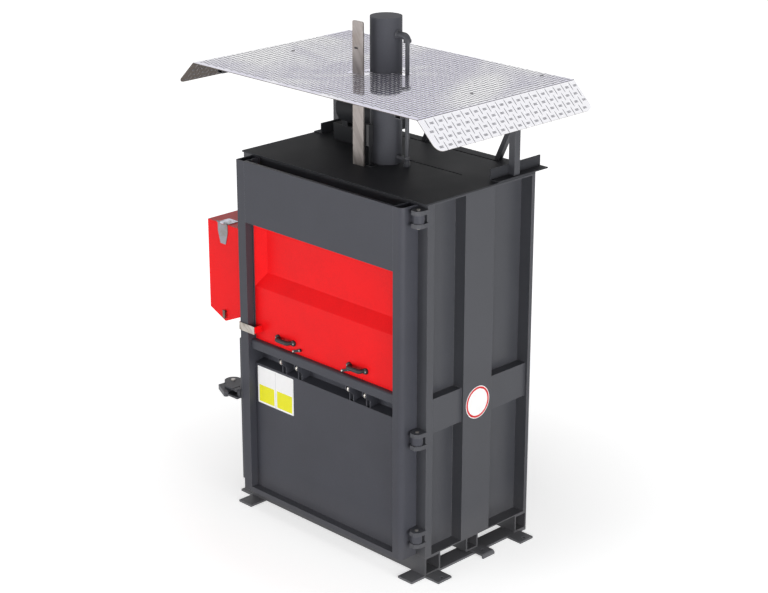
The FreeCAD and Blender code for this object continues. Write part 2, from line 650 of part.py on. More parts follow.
def top_plate():
    """The press head plate with its cylinder bore, strap slot, rear ledge and two long slots."""
    sheet_metal = block("top_sheet", (f"0 - {SIDE}", SIDE), (f"{FRONT} - top_overhang", BACK), (TOP_UNDER, TOP))
    ledge = block("top_ledge_plate", (f"angle_leg - {SIDE}", f"{SIDE} - angle_leg"), (BACK, f"{BACK} + top_ledge"), (TOP_UNDER, TOP))
    plate = joined("top_whole", [sheet_metal, ledge])
    past = (f"{TOP_UNDER} - 1", f"{TOP} + 1")
    bore = rod("top_bore", "z", ("0", "cylinder_back"), "cylinder_outer", past)
    slot = block("top_slot", ("0 - strap_left - strap_width / 2 - pass_gap", "0 - strap_left + strap_width / 2 + pass_gap"),
                 (f"{STRAP_Y} - strap_thick / 2 - pass_gap", f"{STRAP_Y} + strap_thick / 2 + pass_gap"), past)
    front_slot = block("top_front_slot", ("0 - slot_left", "slot_right"), ("slot_front", "slot_front + lift_slot"), past)
    rear_slot = block("top_rear_slot", ("0 - slot_half", "slot_half"), (f"{BACK} + 1", f"{BACK} + 1 + lift_slot"), past)
    return without("top_plate", plate, [bore, slot, front_slot, rear_slot])


def strap_rod():
    """The bar across the back that carries the tying strap reels."""
    y = f"{BACK} + rod_behind"
    return rod("strap_rod", "x", (y, "foot_thick + strap_rod_up"), "strap_rod",
               (f"0 - {SIDE} + strap_rod_in", f"{SIDE} - strap_rod_in"))


def strap_rod_brackets():
    """Two drilled ears on the rear channels that hold the bar."""
    y, z = f"({BACK} + rod_behind)", "(foot_thick + strap_rod_up)"
    x = "rear_channel_apart / 2"
    ear = block("rod_ear", (x, f"{x} + panel_thick"), (BACK, f"{y} + strap_rod"), (f"{z} - strap_rod * 2", f"{z} + strap_rod * 2"))
    hole = rod("rod_ear_hole", "x", (y, z), "strap_rod", (f"{x} - 1", f"{x} + panel_thick + 1"))
    return pair("strap_rod_brackets", without("rod_ear_drilled", ear, [hole]))


# ---- press -----------------------------------------------------------------------------------

CYL_LOW = f"({TOP} - top_thick - cylinder_low)"
CYL_TOP = f"({TOP} + cylinder_high)"


def cylinder_tube():
    """The pressure tube with its closed upper end."""
    loop = [("cylinder_bore / 2", CYL_LOW), ("cylinder_outer / 2", CYL_LOW), ("cylinder_outer / 2", CYL_TOP),
            ("0", CYL_TOP), ("0", f"{CYL_TOP} - cap_thick"), ("cylinder_bore / 2", f"{CYL_TOP} - cap_thick")]
    tube = turned("cylinder_turned", loop, "0", "cylinder_back")
    port = rod("cylinder_port", "x", ("cylinder_back", f"{CYL_TOP} - elbow_drop"), "elbow_port / 2",
               ("cylinder_bore / 4", "cylinder_outer"))
    return without("cylinder_tube", tube, [port])


def cylinder_gland():
    """The rod guide pressed into the lower end of the tube."""
    high = f"{CYL_LOW} + gland_length"
    inner = "rod_width / 2 + slide_fit"
    loop = [(inner, CYL_LOW), ("cylinder_bore / 2", CYL_LOW), ("cylinder_bore / 2", high), (inner, high)]
    return turned("cylinder_gland", loop, "0", "cylinder_back")


def cylinder_flange():
    """The square flange under the top plate that takes the pressing force."""
    low = f"{TOP_UNDER} - flange_thick"
    half = "flange_wide / 2"
    plate = block("flange_plate", (f"0 - {half}", half), (f"cylinder_back - {half}", f"cylinder_back + {half}"), (low, TOP_UNDER))
    bore = rod("flange_bore", "z", ("0", "cylinder_back"), "cylinder_outer", (f"{low} - 1", f"{TOP_UNDER} + 1"))
    return without("cylinder_flange", plate, [bore])


def piston_rod():
    """Piston, rod and the square bolted flange at its foot."""
    high = f"{CYL_TOP} - cap_thick - pass_gap"
    low = f"{high} - piston_length"
    foot = f"{PLATEN_TOP} + rod_foot_thick"
    fit = "cylinder_bore / 2 - slide_fit"
    loop = [("0", foot), ("rod_width / 2", foot), ("rod_width / 2", low), (fit, low), (fit, high), ("0", high)]
    half = "rod_foot_wide / 2"
    plate = block("rod_foot", (f"0 - {half}", half), (f"cylinder_back - {half}", f"cylinder_back + {half}"), (PLATEN_TOP, foot))
    return joined("piston_rod", [turned("rod_and_piston", loop, "0", "cylinder_back"), plate])


def platen():
    """The press plate: a grooved bottom plate, upright ribs and the plate under the rod."""
    half = f"({PANEL_IN} - platen_side_gap)"
    front, back = f"({FRONT} + platen_front_gap)", f"({REAR_IN} - platen_side_gap)"
    deck = f"({PLATEN_LOW} + platen_plate)"
    under = f"({PLATEN_TOP} - platen_plate)"
    shoulder = f"({PLATEN_LOW} + platen_edge)"
    middle = "cylinder_back"
    rib = "platen_plate"
    hub = "(platen_hub / 2)"
    parts = [block("platen_sheet", (f"0 - {half}", half), (front, back), (PLATEN_LOW, deck)),
             block("platen_hub_plate", (f"0 - {hub}", hub), (f"{middle} - {hub}", f"{middle} + {hub}"), (under, PLATEN_TOP)),
             block("platen_edge_front", (f"0 - {half}", half), (front, f"{front} + {rib}"), (deck, shoulder)),
             block("platen_edge_back", (f"0 - {half}", half), (f"{back} - {rib}", back), (deck, shoulder)),
             block("platen_edge_left", (f"0 - {half}", f"0 - {half} + {rib}"), (front, back), (deck, shoulder)),
             block("platen_edge_right", (f"{half} - {rib}", half), (front, back), (deck, shoulder))]
    for side, y in (("front", f"{middle} - {hub}"), ("back", f"{middle} + {hub} - {rib}")):
        loop = [(f"0 - {half}", deck), (half, deck), (half, shoulder), (hub, under), (f"0 - {hub}", under), (f"0 - {half}", shoulder)]
        parts.append(padded("platen_rib_" + side, "XZ", loop, (y, f"{y} + {rib}")))
    for side, x in (("left", f"0 - {hub}"), ("right", f"{hub} - {rib}")):
        parts.append(block("platen_web_" + side, (x, f"{x} + {rib}"), (front, back), (deck, shoulder)))
        parts.append(block("platen_cheek_" + side, (x, f"{x} + {rib}"), (f"{middle} - {hub}", f"{middle} + {hub}"), (deck, under)))
    whole = joined("platen_whole", parts)
    grooves = []
    for name in STRAPS:
        x = f"({DOOR_MID} + {name})"
        grooves.append(block("groove_" + name, (f"{x} - guide_gap / 2", f"{x} + guide_gap / 2"),
                             (f"{front} - 1", f"{back} + 1"), (f"{PLATEN_LOW} - 1", f"{PLATEN_LOW} + platen_plate / 2")))
    return without("platen", whole, grooves)


def position_strap():
    """The bare steel strap that shows how far the platen has gone down."""
    x = ("0 - strap_left - strap_width / 2", "0 - strap_left + strap_width / 2")
    y = (f"{STRAP_Y} - strap_thick / 2", f"{STRAP_Y} + strap_thick / 2")
    strap = block("strap_bar", x, y, (PLATEN_TOP, f"{TOP} + strap_high"))
    slot = block("strap_slot", ("0 - strap_left - strap_width / 8", "0 - strap_left + strap_width / 8"),
                 (f"{y[0]} - 1", f"{y[1]} + 1"), (f"{TOP} + strap_high - 34", f"{TOP} + strap_high - 28"))
    return without("position_strap", strap, [slot])


def pressure_elbow():
    """The cast elbow that takes the pipe into the top of the cylinder."""
    z = f"({CYL_TOP} - elbow_drop)"
    stub = rod("elbow_stub", "x", ("cylinder_back", z), "elbow_wide", ("0", "pipe_out"))
    drop = rod("elbow_drop_leg", "z", ("pipe_out", "cylinder_back"), "elbow_wide", (f"{z} - elbow_low", z))
    wall = rod("elbow_wall", "z", ("0", "cylinder_back"), "cylinder_outer", (TOP, f"{CYL_TOP} + 1"))
    return without("pressure_elbow", joined("elbow_whole", [stub, drop]), [wall])


def pressure_pipe():
    """The straight pipe beside the cylinder with the union on the top plate."""
    high = f"({CYL_TOP} - elbow_drop - elbow_low)"
    pipe = rod("pipe_run", "z", ("pipe_out", "cylinder_back"), "pipe_wide", (TOP, high))
    union = prism("pipe_union", "z", ("pipe_out", "cylinder_back"), "union_wide", 6, (TOP, f"{TOP} + union_high"))
    return joined("pressure_pipe", [pipe, union])


def pipe_clamp():
    """The lug that holds the pipe to the cylinder."""
    z = (f"{TOP} + clamp_high", f"{TOP} + clamp_high + clamp_thick")
    y = ("cylinder_back - pipe_wide / 2", "cylinder_back + pipe_wide / 2")
    lug = block("clamp_lug", ("cylinder_outer / 4", "pipe_out"), y, z)
    pipe = rod("clamp_pipe", "z", ("pipe_out", "cylinder_back"), "pipe_wide", (f"{z[0]} - 1", f"{z[1]} + 1"))
    tube = rod("clamp_tube", "z", ("0", "cylinder_back"), "cylinder_outer", (f"{z[0]} - 1", f"{z[1]} + 1"))
    return without("pipe_clamp", lug, [pipe, tube])


def limit_switch():
    """The switch that reads the position strap: foot, stem and head."""
    near = f"({STRAP_Y} + strap_thick / 2 + switch_gap)"
    x = ("0 - switch_wide / 2", "switch_wide / 2")
    y = (near, f"{near} + switch_deep")
    return joined("limit_switch", [
        block("switch_foot", ("0 - switch_wide", "switch_wide"), (near, f"{near} + switch_deep * 1.3"), (TOP, f"{TOP} + panel_thick")),
        block("switch_stem", ("0 - switch_wide / 4", "switch_wide / 4"), (f"{near} + switch_deep / 2", f"{near} + switch_deep"),
              (TOP, f"{TOP} + switch_low")),
        block("switch_head", x, y, (f"{TOP} + switch_low", f"{TOP} + switch_high"))])


# ---- power pack and roof ------------------------------------------------------------------------

TANK_LEFT = f"(angle_leg + tank_in - {SIDE})"
TANK_RIGHT = "(0 - tank_right)"
MOTOR_Y = "(tank_front + motor_back)"
MOTOR_Z = f"({TOP} + motor_up)"
MOTOR_RIGHT = "(motor_long - motor_left)"


def power_pack_tank():
    """The oil tank behind the cylinder, with its motor foot."""
    x = (TANK_LEFT, TANK_RIGHT)
    y = ("tank_front", "tank_front + tank_deep")
    shell = block("tank_shell", x, y, (TOP, f"{TOP} + tank_high"))
    space = block("tank_space", (f"{x[0]} + tank_wall", f"{x[1]} - tank_wall"), (f"{y[0]} + tank_wall", f"{y[1]} - tank_wall"),
                  (f"{TOP} + tank_wall", f"{TOP} + tank_high - tank_wall"))
    return without("power_pack_tank", shell, [space])


def power_pack_motor():
    """The motor drum, standing on two feet on the tank."""
    left = "(0 - motor_left)"
    parts = [rod("motor_drum", "x", (MOTOR_Y, MOTOR_Z), "motor_wide", (left, MOTOR_RIGHT))]
    for number, start in enumerate((f"{TANK_LEFT} + foot_left", f"{TANK_RIGHT} - foot_right - motor_foot")):
        parts.append(block("motor_foot_%d" % number, (start, f"{start} + motor_foot"),
                           (f"{MOTOR_Y} - motor_wide / 3", f"{MOTOR_Y} + motor_wide / 3"), (f"{TOP} + tank_high", MOTOR_Z)))
    return joined("power_pack_motor", parts)


def power_pack_pump():
    """The bell housing and pump on the motor's right end."""
    right = f"({MOTOR_RIGHT} + bell_long)"
    bell = rod("pump_bell", "x", (MOTOR_Y, MOTOR_Z), "pump_wide", (MOTOR_RIGHT, right))
    pump = block("pump_body", (right, f"{right} + bell_long"), (f"{MOTOR_Y} - pump_wide / 3", f"{MOTOR_Y} + pump_wide / 3"),
                 (f"{MOTOR_Z} - pump_wide / 2", f"{MOTOR_Z} + pump_wide / 3"))
    return joined("power_pack_pump", [bell, pump])


def top_angles():
    """The angles on the top plate that run out behind the body."""
    inner, outer = f"({SIDE} - angle_leg)", SIDE
    loop = [(inner, TOP), (outer, TOP), (outer, f"{TOP} + angle_thick"), (f"{inner} + angle_thick", f"{TOP} + angle_thick"),
            (f"{inner} + angle_thick", f"{TOP} + angle_leg"), (inner, f"{TOP} + angle_leg")]
    return pair("top_angles", padded("top_angle", "XZ", loop, ("angle_front", f"{BACK} + angle_past")))


def roof_posts():
    """Two square tubes standing in the top angles."""
    post = square_tube("roof_leg", (RAIL_IN, f"{RAIL_IN} + roof_post"),
                       ("roof_post_back - roof_post / 2", "roof_post_back + roof_post / 2"),
                       (f"{TOP} + angle_thick", RAIL_LOW), "roof_tube_wall", "z")
    return pair("roof_posts", post)


def roof_rails():
    """Two side rails under the roof and the cross rail between them."""
    x = (RAIL_IN, f"{RAIL_IN} + roof_post")
    z = (RAIL_LOW, ROOF_UNDER)
    side = square_tube("roof_side_rail", x, ("rail_in - roof_front", "roof_back - rail_in"), z, "roof_tube_wall", "y")
    cross = square_tube("roof_cross_rail", (f"0 - {RAIL_IN}", RAIL_IN),
                        ("roof_post_back - roof_post / 2", "roof_post_back + roof_post / 2"), z, "roof_tube_wall", "x")
    return grouped("roof_rails", [side, mirrored("roof_side_rail_left", side), cross])


def leaning_brace(name, foot, way):
    """A square bar that leans sideways from the rear ledge to the roof sheet."""
    near, far = f"({foot} - brace_wide / 2)", f"({foot} + brace_wide / 2)"
    top_near, top_far = f"({near} {way} brace_lean)", f"({far} {way} brace_lean)"
    loop = [(near, TOP), (far, TOP), (top_far, ROOF_UNDER), (top_near, ROOF_UNDER)]
    return padded(name, "XZ", loop, (f"{BACK} + brace_back - brace_wide / 2", f"{BACK} + brace_back + brace_wide / 2"))


def roof_braces():
    """Three leaning struts from the rear ledge: one to each side rail and one to the middle of the roof."""
    return grouped("roof_braces", [leaning_brace("brace_right", "brace_foot", "+"), leaning_brace("brace_left", "(0 - brace_foot)", "-"),
                                   leaning_brace("brace_middle", "(0 - brace_middle_left)", "+")])


def roof_sheet():
    """The tread plate roof with two folded side flaps and its openings."""
    flat = "(roof_flat_width / 2)"
    tip = f"({flat} + roof_flap_out)"
    tip_z = f"({ROOF_TOP} - roof_flap_down)"
    skin = "roof_thick * 0.72"
    loop = [(f"0 - {tip}", tip_z), (f"0 - {flat}", ROOF_TOP), (flat, ROOF_TOP), (tip, tip_z),
            (f"{tip} - {skin}", f"{tip_z} - {skin}"), (f"{flat} - roof_thick * 0.4", ROOF_UNDER),
            (f"0 - {flat} + roof_thick * 0.4", ROOF_UNDER), (f"0 - {tip} + {skin}", f"{tip_z} - {skin}")]
    sheet_metal = padded("roof_folded", "XZ", loop, ("0 - roof_front", "roof_back"))
    doc.recompute()
    picks = []
    for index, edge in enumerate(sheet_metal.Shape.Edges, start=1):
        middle = (edge.Vertexes[0].Point + edge.Vertexes[-1].Point) * 0.5
        short = edge.Length < value("roof_thick") * 2
        if short and abs(middle.x) > value(flat) + 20:
            picks.append((index, value("roof_corner"), value("roof_corner")))
    soft = doc.addObject("Part::Fillet", "roof_soft")
    soft.Base = sheet_metal
    soft.Edges = picks
    past = (f"{ROOF_UNDER} - 1", f"{ROOF_TOP} + 1")
    bore = rod("roof_bore", "z", ("0", "cylinder_back"), "cylinder_outer + pass_gap * 2", past)
    pipe = block("roof_pipe_cut", ("0", "pipe_out + pipe_wide / 2 + pass_gap"),
                 ("cylinder_back - pipe_wide / 2 - pass_gap", "cylinder_back + pipe_wide / 2 + pass_gap"), past)
    slot = block("roof_slot", ("0 - strap_left - strap_width / 2 - pass_gap", "0 - strap_left + strap_width / 2 + pass_gap"),
                 (f"{STRAP_Y} - strap_thick / 2 - pass_gap", f"{STRAP_Y} + strap_thick / 2 + pass_gap"), past)
    return without("roof_sheet", soft, [bore, pipe, slot])


def roof_bolts():
    """Four bolt heads that hold the sheet to the side rails."""
    bolts = []
    for end, y in (("front", "0 - bolt_front"), ("rear", "bolt_back")):
        bolt = prism("roof_bolt_" + end, "z", (f"{RAIL_IN} + roof_post / 2", y), "roof_bolt * 1.5", 6, (ROOF_TOP, f"{ROOF_TOP} + roof_bolt / 2"))
        bolts += [bolt, mirrored("roof_bolt_left_" + end, bolt)]
    return grouped("roof_bolts", bolts)


# ---- door ------------------------------------------------------------------------------------------

def door_stile_left():
    """The closing upright of the door."""
    return square_tube("door_stile_left", (DOOR_LEFT, BAY_LEFT), (DOOR_FRONT, DOOR_BACK), (DOOR_LOW, DOOR_TOP), "stile_wall", "z")


def door_stile_right():
    """The hinge upright of the door, with a large outer front radius."""
    outer = block("stile_right_outer", (BAY_RIGHT, DOOR_RIGHT), (DOOR_FRONT, DOOR_BACK), (DOOR_LOW, DOOR_TOP))
    soft = rounded("stile_right_soft", outer, [("z", DOOR_RIGHT, DOOR_FRONT, None, "stile_round")])
    inner = block("stile_right_inner", (f"{BAY_RIGHT} + stile_wall", f"{DOOR_RIGHT} - stile_wall"),
                  (f"{DOOR_FRONT} + stile_wall", f"{DOOR_BACK} - stile_wall"), (f"{DOOR_LOW} - 1", f"{DOOR_TOP} + 1"))
    bore = rounded("stile_right_bore", inner, [("z", f"{DOOR_RIGHT} - stile_wall", f"{DOOR_FRONT} + stile_wall", None,
                                                "stile_round - stile_wall")])
    return without("door_stile_right", soft, [bore])


def door_header():
    """The folded sheet above the gate bay."""
    low, high = HEADER_LOW, DOOR_TOP
    inner = f"({DOOR_FRONT} + header_sheet)"
    lip = f"({inner} + header_return)"
    loop = [(DOOR_FRONT, low), (lip, low), (lip, f"{low} + header_sheet"), (inner, f"{low} + header_sheet"),
            (inner, f"{high} - header_sheet"), (lip, f"{high} - header_sheet"), (lip, high), (DOOR_FRONT, high)]
    return padded("door_header", "YZ", loop, (BAY_LEFT, BAY_RIGHT))


def lower_panel():
    """The sunk sheet of the lower door."""
    return block("lower_panel", (BAY_LEFT, BAY_RIGHT), (PANEL_FRONT, PANEL_REAR),
                 (f"{DOOR_LOW} + rail_height", "foot_thick + slot_low"))


def bottom_rail():
    """The tube across the foot of the door."""
    return square_tube("bottom_rail", (BAY_LEFT, BAY_RIGHT), (DOOR_FRONT, DOOR_BACK),
                       (DOOR_LOW, f"{DOOR_LOW} + rail_height"), "door_sheet", "x")


def sill_bar():
    """The round-edged tube on which the gate comes to rest."""
    outer = block("sill_outer", (BAY_LEFT, BAY_RIGHT), (SILL_FRONT, DOOR_BACK), (SILL_LOW, SILL_TOP))
    soft = rounded("sill_soft", outer, [("x", None, SILL_FRONT, SILL_TOP, "sill_round")])
    bore = block("sill_bore", (f"{BAY_LEFT} - 1", f"{BAY_RIGHT} + 1"), (f"{SILL_FRONT} + sill_round / 2", f"{DOOR_BACK} - door_sheet"),
                 (f"{SILL_LOW} + door_sheet", f"{SILL_TOP} - sill_round / 2"))
    return without("sill_bar", soft, [bore])


def strap_guides():
    """Four upright channels that stiffen the lower door and lead the tying straps to the slot."""
    nose_y = f"({PANEL_REAR} - guide_nose)"
    nose_low = "(foot_thick + slot_low + guide_nose * 1.3)"
    low = f"({DOOR_LOW} + rail_height)"
    loop = [(PANEL_REAR, low), (DOOR_BACK, low), (DOOR_BACK, SILL_LOW), (nose_y, SILL_LOW),
            (nose_y, f"{nose_low} + guide_nose"), (PANEL_REAR, nose_low)]
    guides = []
    for name in STRAPS:
        x = f"({DOOR_MID} + {name})"
        right = padded("guide_right_" + name, "YZ", loop, (f"{x} + guide_gap / 2", f"{x} + guide_gap / 2 + guide_plate"))
        left = padded("guide_left_" + name, "YZ", loop, (f"{x} - guide_gap / 2 - guide_plate", f"{x} - guide_gap / 2"))
        web = block("guide_web_" + name, (f"{x} - guide_gap / 2", f"{x} + guide_gap / 2"),
                    (f"{DOOR_BACK} - guide_plate", DOOR_BACK), (low, SILL_LOW))
        guides += [right, left, web]
    return grouped("strap_guides", guides)


def strap_rollers():
    """The bright rollers with their pins, one in the nose of each strap guide."""
    rollers = []
    y, z = f"({PANEL_REAR} - guide_nose / 2)", f"({SILL_LOW} - roller_drop)"
    for name in STRAPS:
        x = f"({DOOR_MID} + {name})"
        wheel = prism("roller_" + name, "x", (y, z), "roller_wide", 12, (f"{x} - guide_gap / 2 + 1", f"{x} + guide_gap / 2 - 1"))
        pin = prism("roller_pin_" + name, "x", (y, z), "roller_pin", 8, (f"{x} - guide_gap / 2", f"{x} + guide_gap / 2"))
        rollers.append(joined("roller_set_" + name, [wheel, pin]))
    return grouped("strap_rollers", rollers)


def gate_guides():
    """Strips before and behind each gate edge, on the inner faces of the uprights."""
    strips = []
    z = (SILL_TOP, DOOR_TOP)
    for end, x in (("left", (BAY_LEFT, f"{BAY_LEFT} + rail_strip")), ("right", (f"{BAY_RIGHT} - rail_strip", BAY_RIGHT))):
        strips.append(block("strip_front_" + end, x, (f"{GATE_FRONT} - rail_clear - rail_thick", f"{GATE_FRONT} - rail_clear"), z))
        strips.append(block("strip_back_" + end, x, (f"{GATE_BACK} + rail_clear", f"{GATE_BACK} + rail_clear + rail_thick"), z))
    return grouped("gate_guides", strips)


def door_keeper():
    """The flat on the closing edge of the door."""
    return block("door_keeper", (KEEPER_OUT, DOOR_LEFT), (DOOR_FRONT, f"{DOOR_FRONT} + keeper_wide"),
                 ("foot_thick + keeper_low", "foot_thick + keeper_high"))


CLAW_LOW = "(foot_thick + claw_low)"
CLAW_HIGH = f"({CLAW_LOW} + claw_apart)"
CATCH_X = f"({KEEPER_OUT} - catch_out)"
CATCH_Y = f"({DOOR_FRONT} - catch_front)"


def latch_catch():
    """Two lugs on the door edge with the upright pin that the claw holds."""
    x = (f"{CATCH_X} - catch_pin * 0.65", KEEPER_OUT)
    y = (f"{CATCH_Y} - catch_lug * 0.4", f"{CATCH_Y} + catch_lug * 0.6")
    between = (f"{CLAW_LOW} + claw_plate", f"{CLAW_HIGH} - claw_plate")
    return [block("catch_lug_low", x, y, (CLAW_LOW, between[0])), block("catch_lug_high", x, y, (between[1], CLAW_HIGH)),
            rod("catch_round", "z", (CATCH_X, CATCH_Y), "catch_pin", between)]


def door_knuckles():
    """The door's share of the three hinges: a bored barrel on a tongue."""
    knuckles = []
    for name, z in HINGES.items():
        half = "(hinge_high / 2 - ear_thick - knuckle_gap)"
        span = (f"{z} - {half}", f"{z} + {half}")
        barrel = rod("barrel_" + name, "z", (HINGE_X, HINGE_Y), "knuckle_round * 2", span)
        tongue = block("tongue_" + name, (DOOR_RIGHT, HINGE_X), (f"{HINGE_Y} - knuckle_round * 0.6", f"{HINGE_Y} + knuckle_round * 0.6"), span)
        bore = rod("barrel_bore_" + name, "z", (HINGE_X, HINGE_Y), "hinge_pin + slide_fit * 2", (f"{span[0]} - 1", f"{span[1]} + 1"))
        knuckles.append(without("knuckle_" + name, joined("knuckle_whole_" + name, [barrel, tongue]), [bore]))
    return grouped("door_knuckles", knuckles)


def hinge_brackets():
    """The body's share of the three hinges: two blunt-nosed ears welded to a back plate."""
    brackets = []
    half, cut = "hinge_round", "hinge_round * 0.45"
    nose = f"({HINGE_Y} - hinge_round)"
    loop = [(f"{HINGE_X} - {half}", f"{FRONT} - hinge_plate"), (f"{HINGE_X} - {half}", f"{nose} + {half}"),
            (f"{HINGE_X} - {half} * 0.86", f"{nose} + {cut}"), (f"{HINGE_X} - {cut}", nose), (f"{HINGE_X} + {cut}", nose),
            (f"{HINGE_X} + {half} * 0.86", f"{nose} + {cut}"), (f"{HINGE_X} + {half}", f"{nose} + {half}"),
            (f"{HINGE_X} + {half}", f"{FRONT} - hinge_plate")]
    for name, z in HINGES.items():
        low, high = f"({z} - hinge_high / 2)", f"({z} + hinge_high / 2)"
        brackets.append(block("hinge_back_" + name, (f"{HINGE_X} - {half}", SIDE), (f"{FRONT} - hinge_plate", FRONT), (low, high)))
        for end, span in (("low", (low, f"{low} + ear_thick")), ("high", (f"{high} - ear_thick", high))):
            bore = rod(f"ear_bore_{end}_{name}", "z", (HINGE_X, HINGE_Y), "hinge_pin", (f"{low} - 1", f"{high} + 1"))
            brackets.append(without(f"ear_{end}_{name}", padded(f"ear_whole_{end}_{name}", "XY", loop, span), [bore]))
    return grouped("hinge_brackets", brackets)


def hinge_pins():
    """Three pins held in the ears, standing out a little below."""
    pins = []
    for name, z in HINGES.items():
        pins.append(rod("pin_" + name, "z", (HINGE_X, HINGE_Y), "hinge_pin", (f"{z} - hinge_high / 2 - pin_out", f"{z} + hinge_high / 2 + 2")))
    return grouped("hinge_pins", pins)


# ---- gate ------------------------------------------------------------------------------------------

def sunk_wedge(name, near, far, grow):
    """The tapering space of the gate's sunk panel between two depths, grown outward by one wall."""
    item = doc.addObject("Part::Wedge", name)
    tilt = "(pan_run / (gate_deep - gate_sheet))"
    lift = "(pan_rise / (gate_deep - gate_sheet))"
    left, right = f"({GATE_LEFT} + gate_rim)", f"({GATE_RIGHT} - gate_rim)"
    low = "(foot_thick + pan_low)"
    high = f"({GATE_TOP} + 10)"
    for tag, y in (("", near), ("2", far)):
        deep = f"(({y}) - {GATE_FRONT})"
        item.setExpression(f"X{tag}min" if tag else "Xmin", bound(f"{left} + {tilt} * {deep} - {grow} * 1.48"))
        item.setExpression(f"X{tag}max" if tag else "Xmax", bound(f"{right} - {tilt} * {deep} + {grow} * 1.48"))
        item.setExpression(f"Z{tag}min" if tag else "Zmin", bound(f"{low} + {lift} * {deep} - {grow} * 1.9"))
        item.setExpression(f"Z{tag}max" if tag else "Zmax", bound(high))
    item.setExpression("Ymin", bound(near))
    item.setExpression("Ymax", bound(far))
    return item


def gate_panel():
    """The folded gate: flat lower front, slope and a sunk upper panel between slanted cheeks."""
    x, y, z = (GATE_LEFT, GATE_RIGHT), (GATE_FRONT, GATE_BACK), (GATE_LOW, GATE_TOP)
    outer = block("gate_outer", x, y, z)
    sunk = sunk_wedge("gate_sunk", f"{GATE_FRONT} - 1", f"{GATE_BACK} - gate_sheet", "0")
    rear = block("gate_rear", (f"{x[0]} + gate_sheet", f"{x[1]} - gate_sheet"), (f"{y[0]} + gate_sheet", f"{y[1]} + 1"),
                 (f"{z[0]} + gate_sheet", f"{z[1]} + 20"))
    wall = sunk_wedge("gate_wall", f"{GATE_FRONT} - 2", GATE_BACK, "gate_sheet")
    hollow = without("gate_hollow", rear, [wall])
    shell = without("gate_shell", outer, [sunk, hollow])
    tab_x = f"({DOOR_LEFT} - band_thick / 2 + band_long)"
    tab = block("gate_tab", (f"{tab_x} - tab_thick", tab_x), (f"{DOOR_FRONT} - band_gap", GATE_FRONT),
                ("foot_thick + band_low + 4", "foot_thick + band_low + band_high - 4"))
    return joined("gate_panel", [shell, tab])


def gate_band():
    """The bare steel band that wraps round the closing upright."""
    front = (f"{DOOR_FRONT} - band_gap - band_thick", f"{DOOR_FRONT} - band_gap")
    left = f"({DOOR_LEFT} - band_gap)"
    z = ("foot_thick + band_low", "foot_thick + band_low + band_high")
    face = block("band_face", (f"{left} - band_thick", f"{DOOR_LEFT} - band_thick / 2 + band_long"), front, z)
    wrap = block("band_wrap_plate", (f"{left} - band_thick", left), (front[0], f"{front[1]} + band_wrap"), z)
    whole = joined("band_whole", [face, wrap])
    return rounded("gate_band", whole, [("z", f"{left} - band_thick", front[0], None, "band_thick")])


def bridge_handle(name, spot):
    """A bridge handle: two legs, a bar with cut corners and two seats."""
    middle = f"({DOOR_MID} + {spot})"
    low, high = f"({middle} - handle_long / 2)", f"({middle} + handle_long / 2)"
    bar = "handle_bar / 2"
    out, inner = f"({GATE_FRONT} - handle_out)", f"({GATE_FRONT} - handle_out + handle_bar)"
    loop = [(f"{low} - {bar}", GATE_FRONT), (f"{low} - {bar}", f"{out} + handle_bend"), (f"{low} - {bar} + handle_bend", out),
            (f"{high} + {bar} - handle_bend", out), (f"{high} + {bar}", f"{out} + handle_bend"), (f"{high} + {bar}", GATE_FRONT),
            (f"{high} - {bar}", GATE_FRONT), (f"{high} - {bar}", f"{inner} + handle_bend / 3"), (f"{high} - {bar} - handle_bend / 3", inner),
            (f"{low} + {bar} + handle_bend / 3", inner), (f"{low} + {bar}", f"{inner} + handle_bend / 3"), (f"{low} + {bar}", GATE_FRONT)]
    z = "(foot_thick + handle_up)"
    bridge = padded(name + "_bridge", "XY", loop, (f"{z} - {bar}", f"{z} + {bar}"))
    seats = [prism(name + "_seat_" + end, "y", (x, z), "handle_seat", 8, (f"{GATE_FRONT} - {bar}", GATE_FRONT)) for end, x in (("low", low), ("high", high))]
    return joined(name, [bridge] + seats)


def gate_handles():
    """The two black bridge handles."""
    return grouped("gate_handles", [bridge_handle("handle_left", "handle_1"), bridge_handle("handle_right", "handle_2")])


def lever(name, spot):
    """A small flat lever on a round boss, its tip to the left and a little down."""
    y = ("0 - lever_gap - lever_thick * 2", "0 - lever_gap")
    flat = (f"{y[0]} + lever_thick / 2", f"{y[0]} + lever_thick * 1.5")
    boss = rod(name + "_boss", "y", ("0", "0"), "lever_wide * 1.3", y)
    arm = block(name + "_arm", ("0 - lever_long", "0"), flat, ("0 - lever_wide / 2", "lever_wide / 2"))
    tip = rod(name + "_tip", "y", ("0 - lever_long", "0"), "lever_wide", flat)
    whole = joined(name, [boss, arm, tip])
    whole.Placement = FreeCAD.Placement(FreeCAD.Vector(), FreeCAD.Rotation(FreeCAD.Vector(0, 1, 0), -value("lever_tilt")))
    for letter, place in (("x", f"{DOOR_MID} + {spot}"), ("y", GATE_FRONT), ("z", "foot_thick + lever_up")):
        whole.setExpression("Placement.Base." + letter, bound(place))
    return whole


# ---- latch -------------------------------------------------------------------------------------------

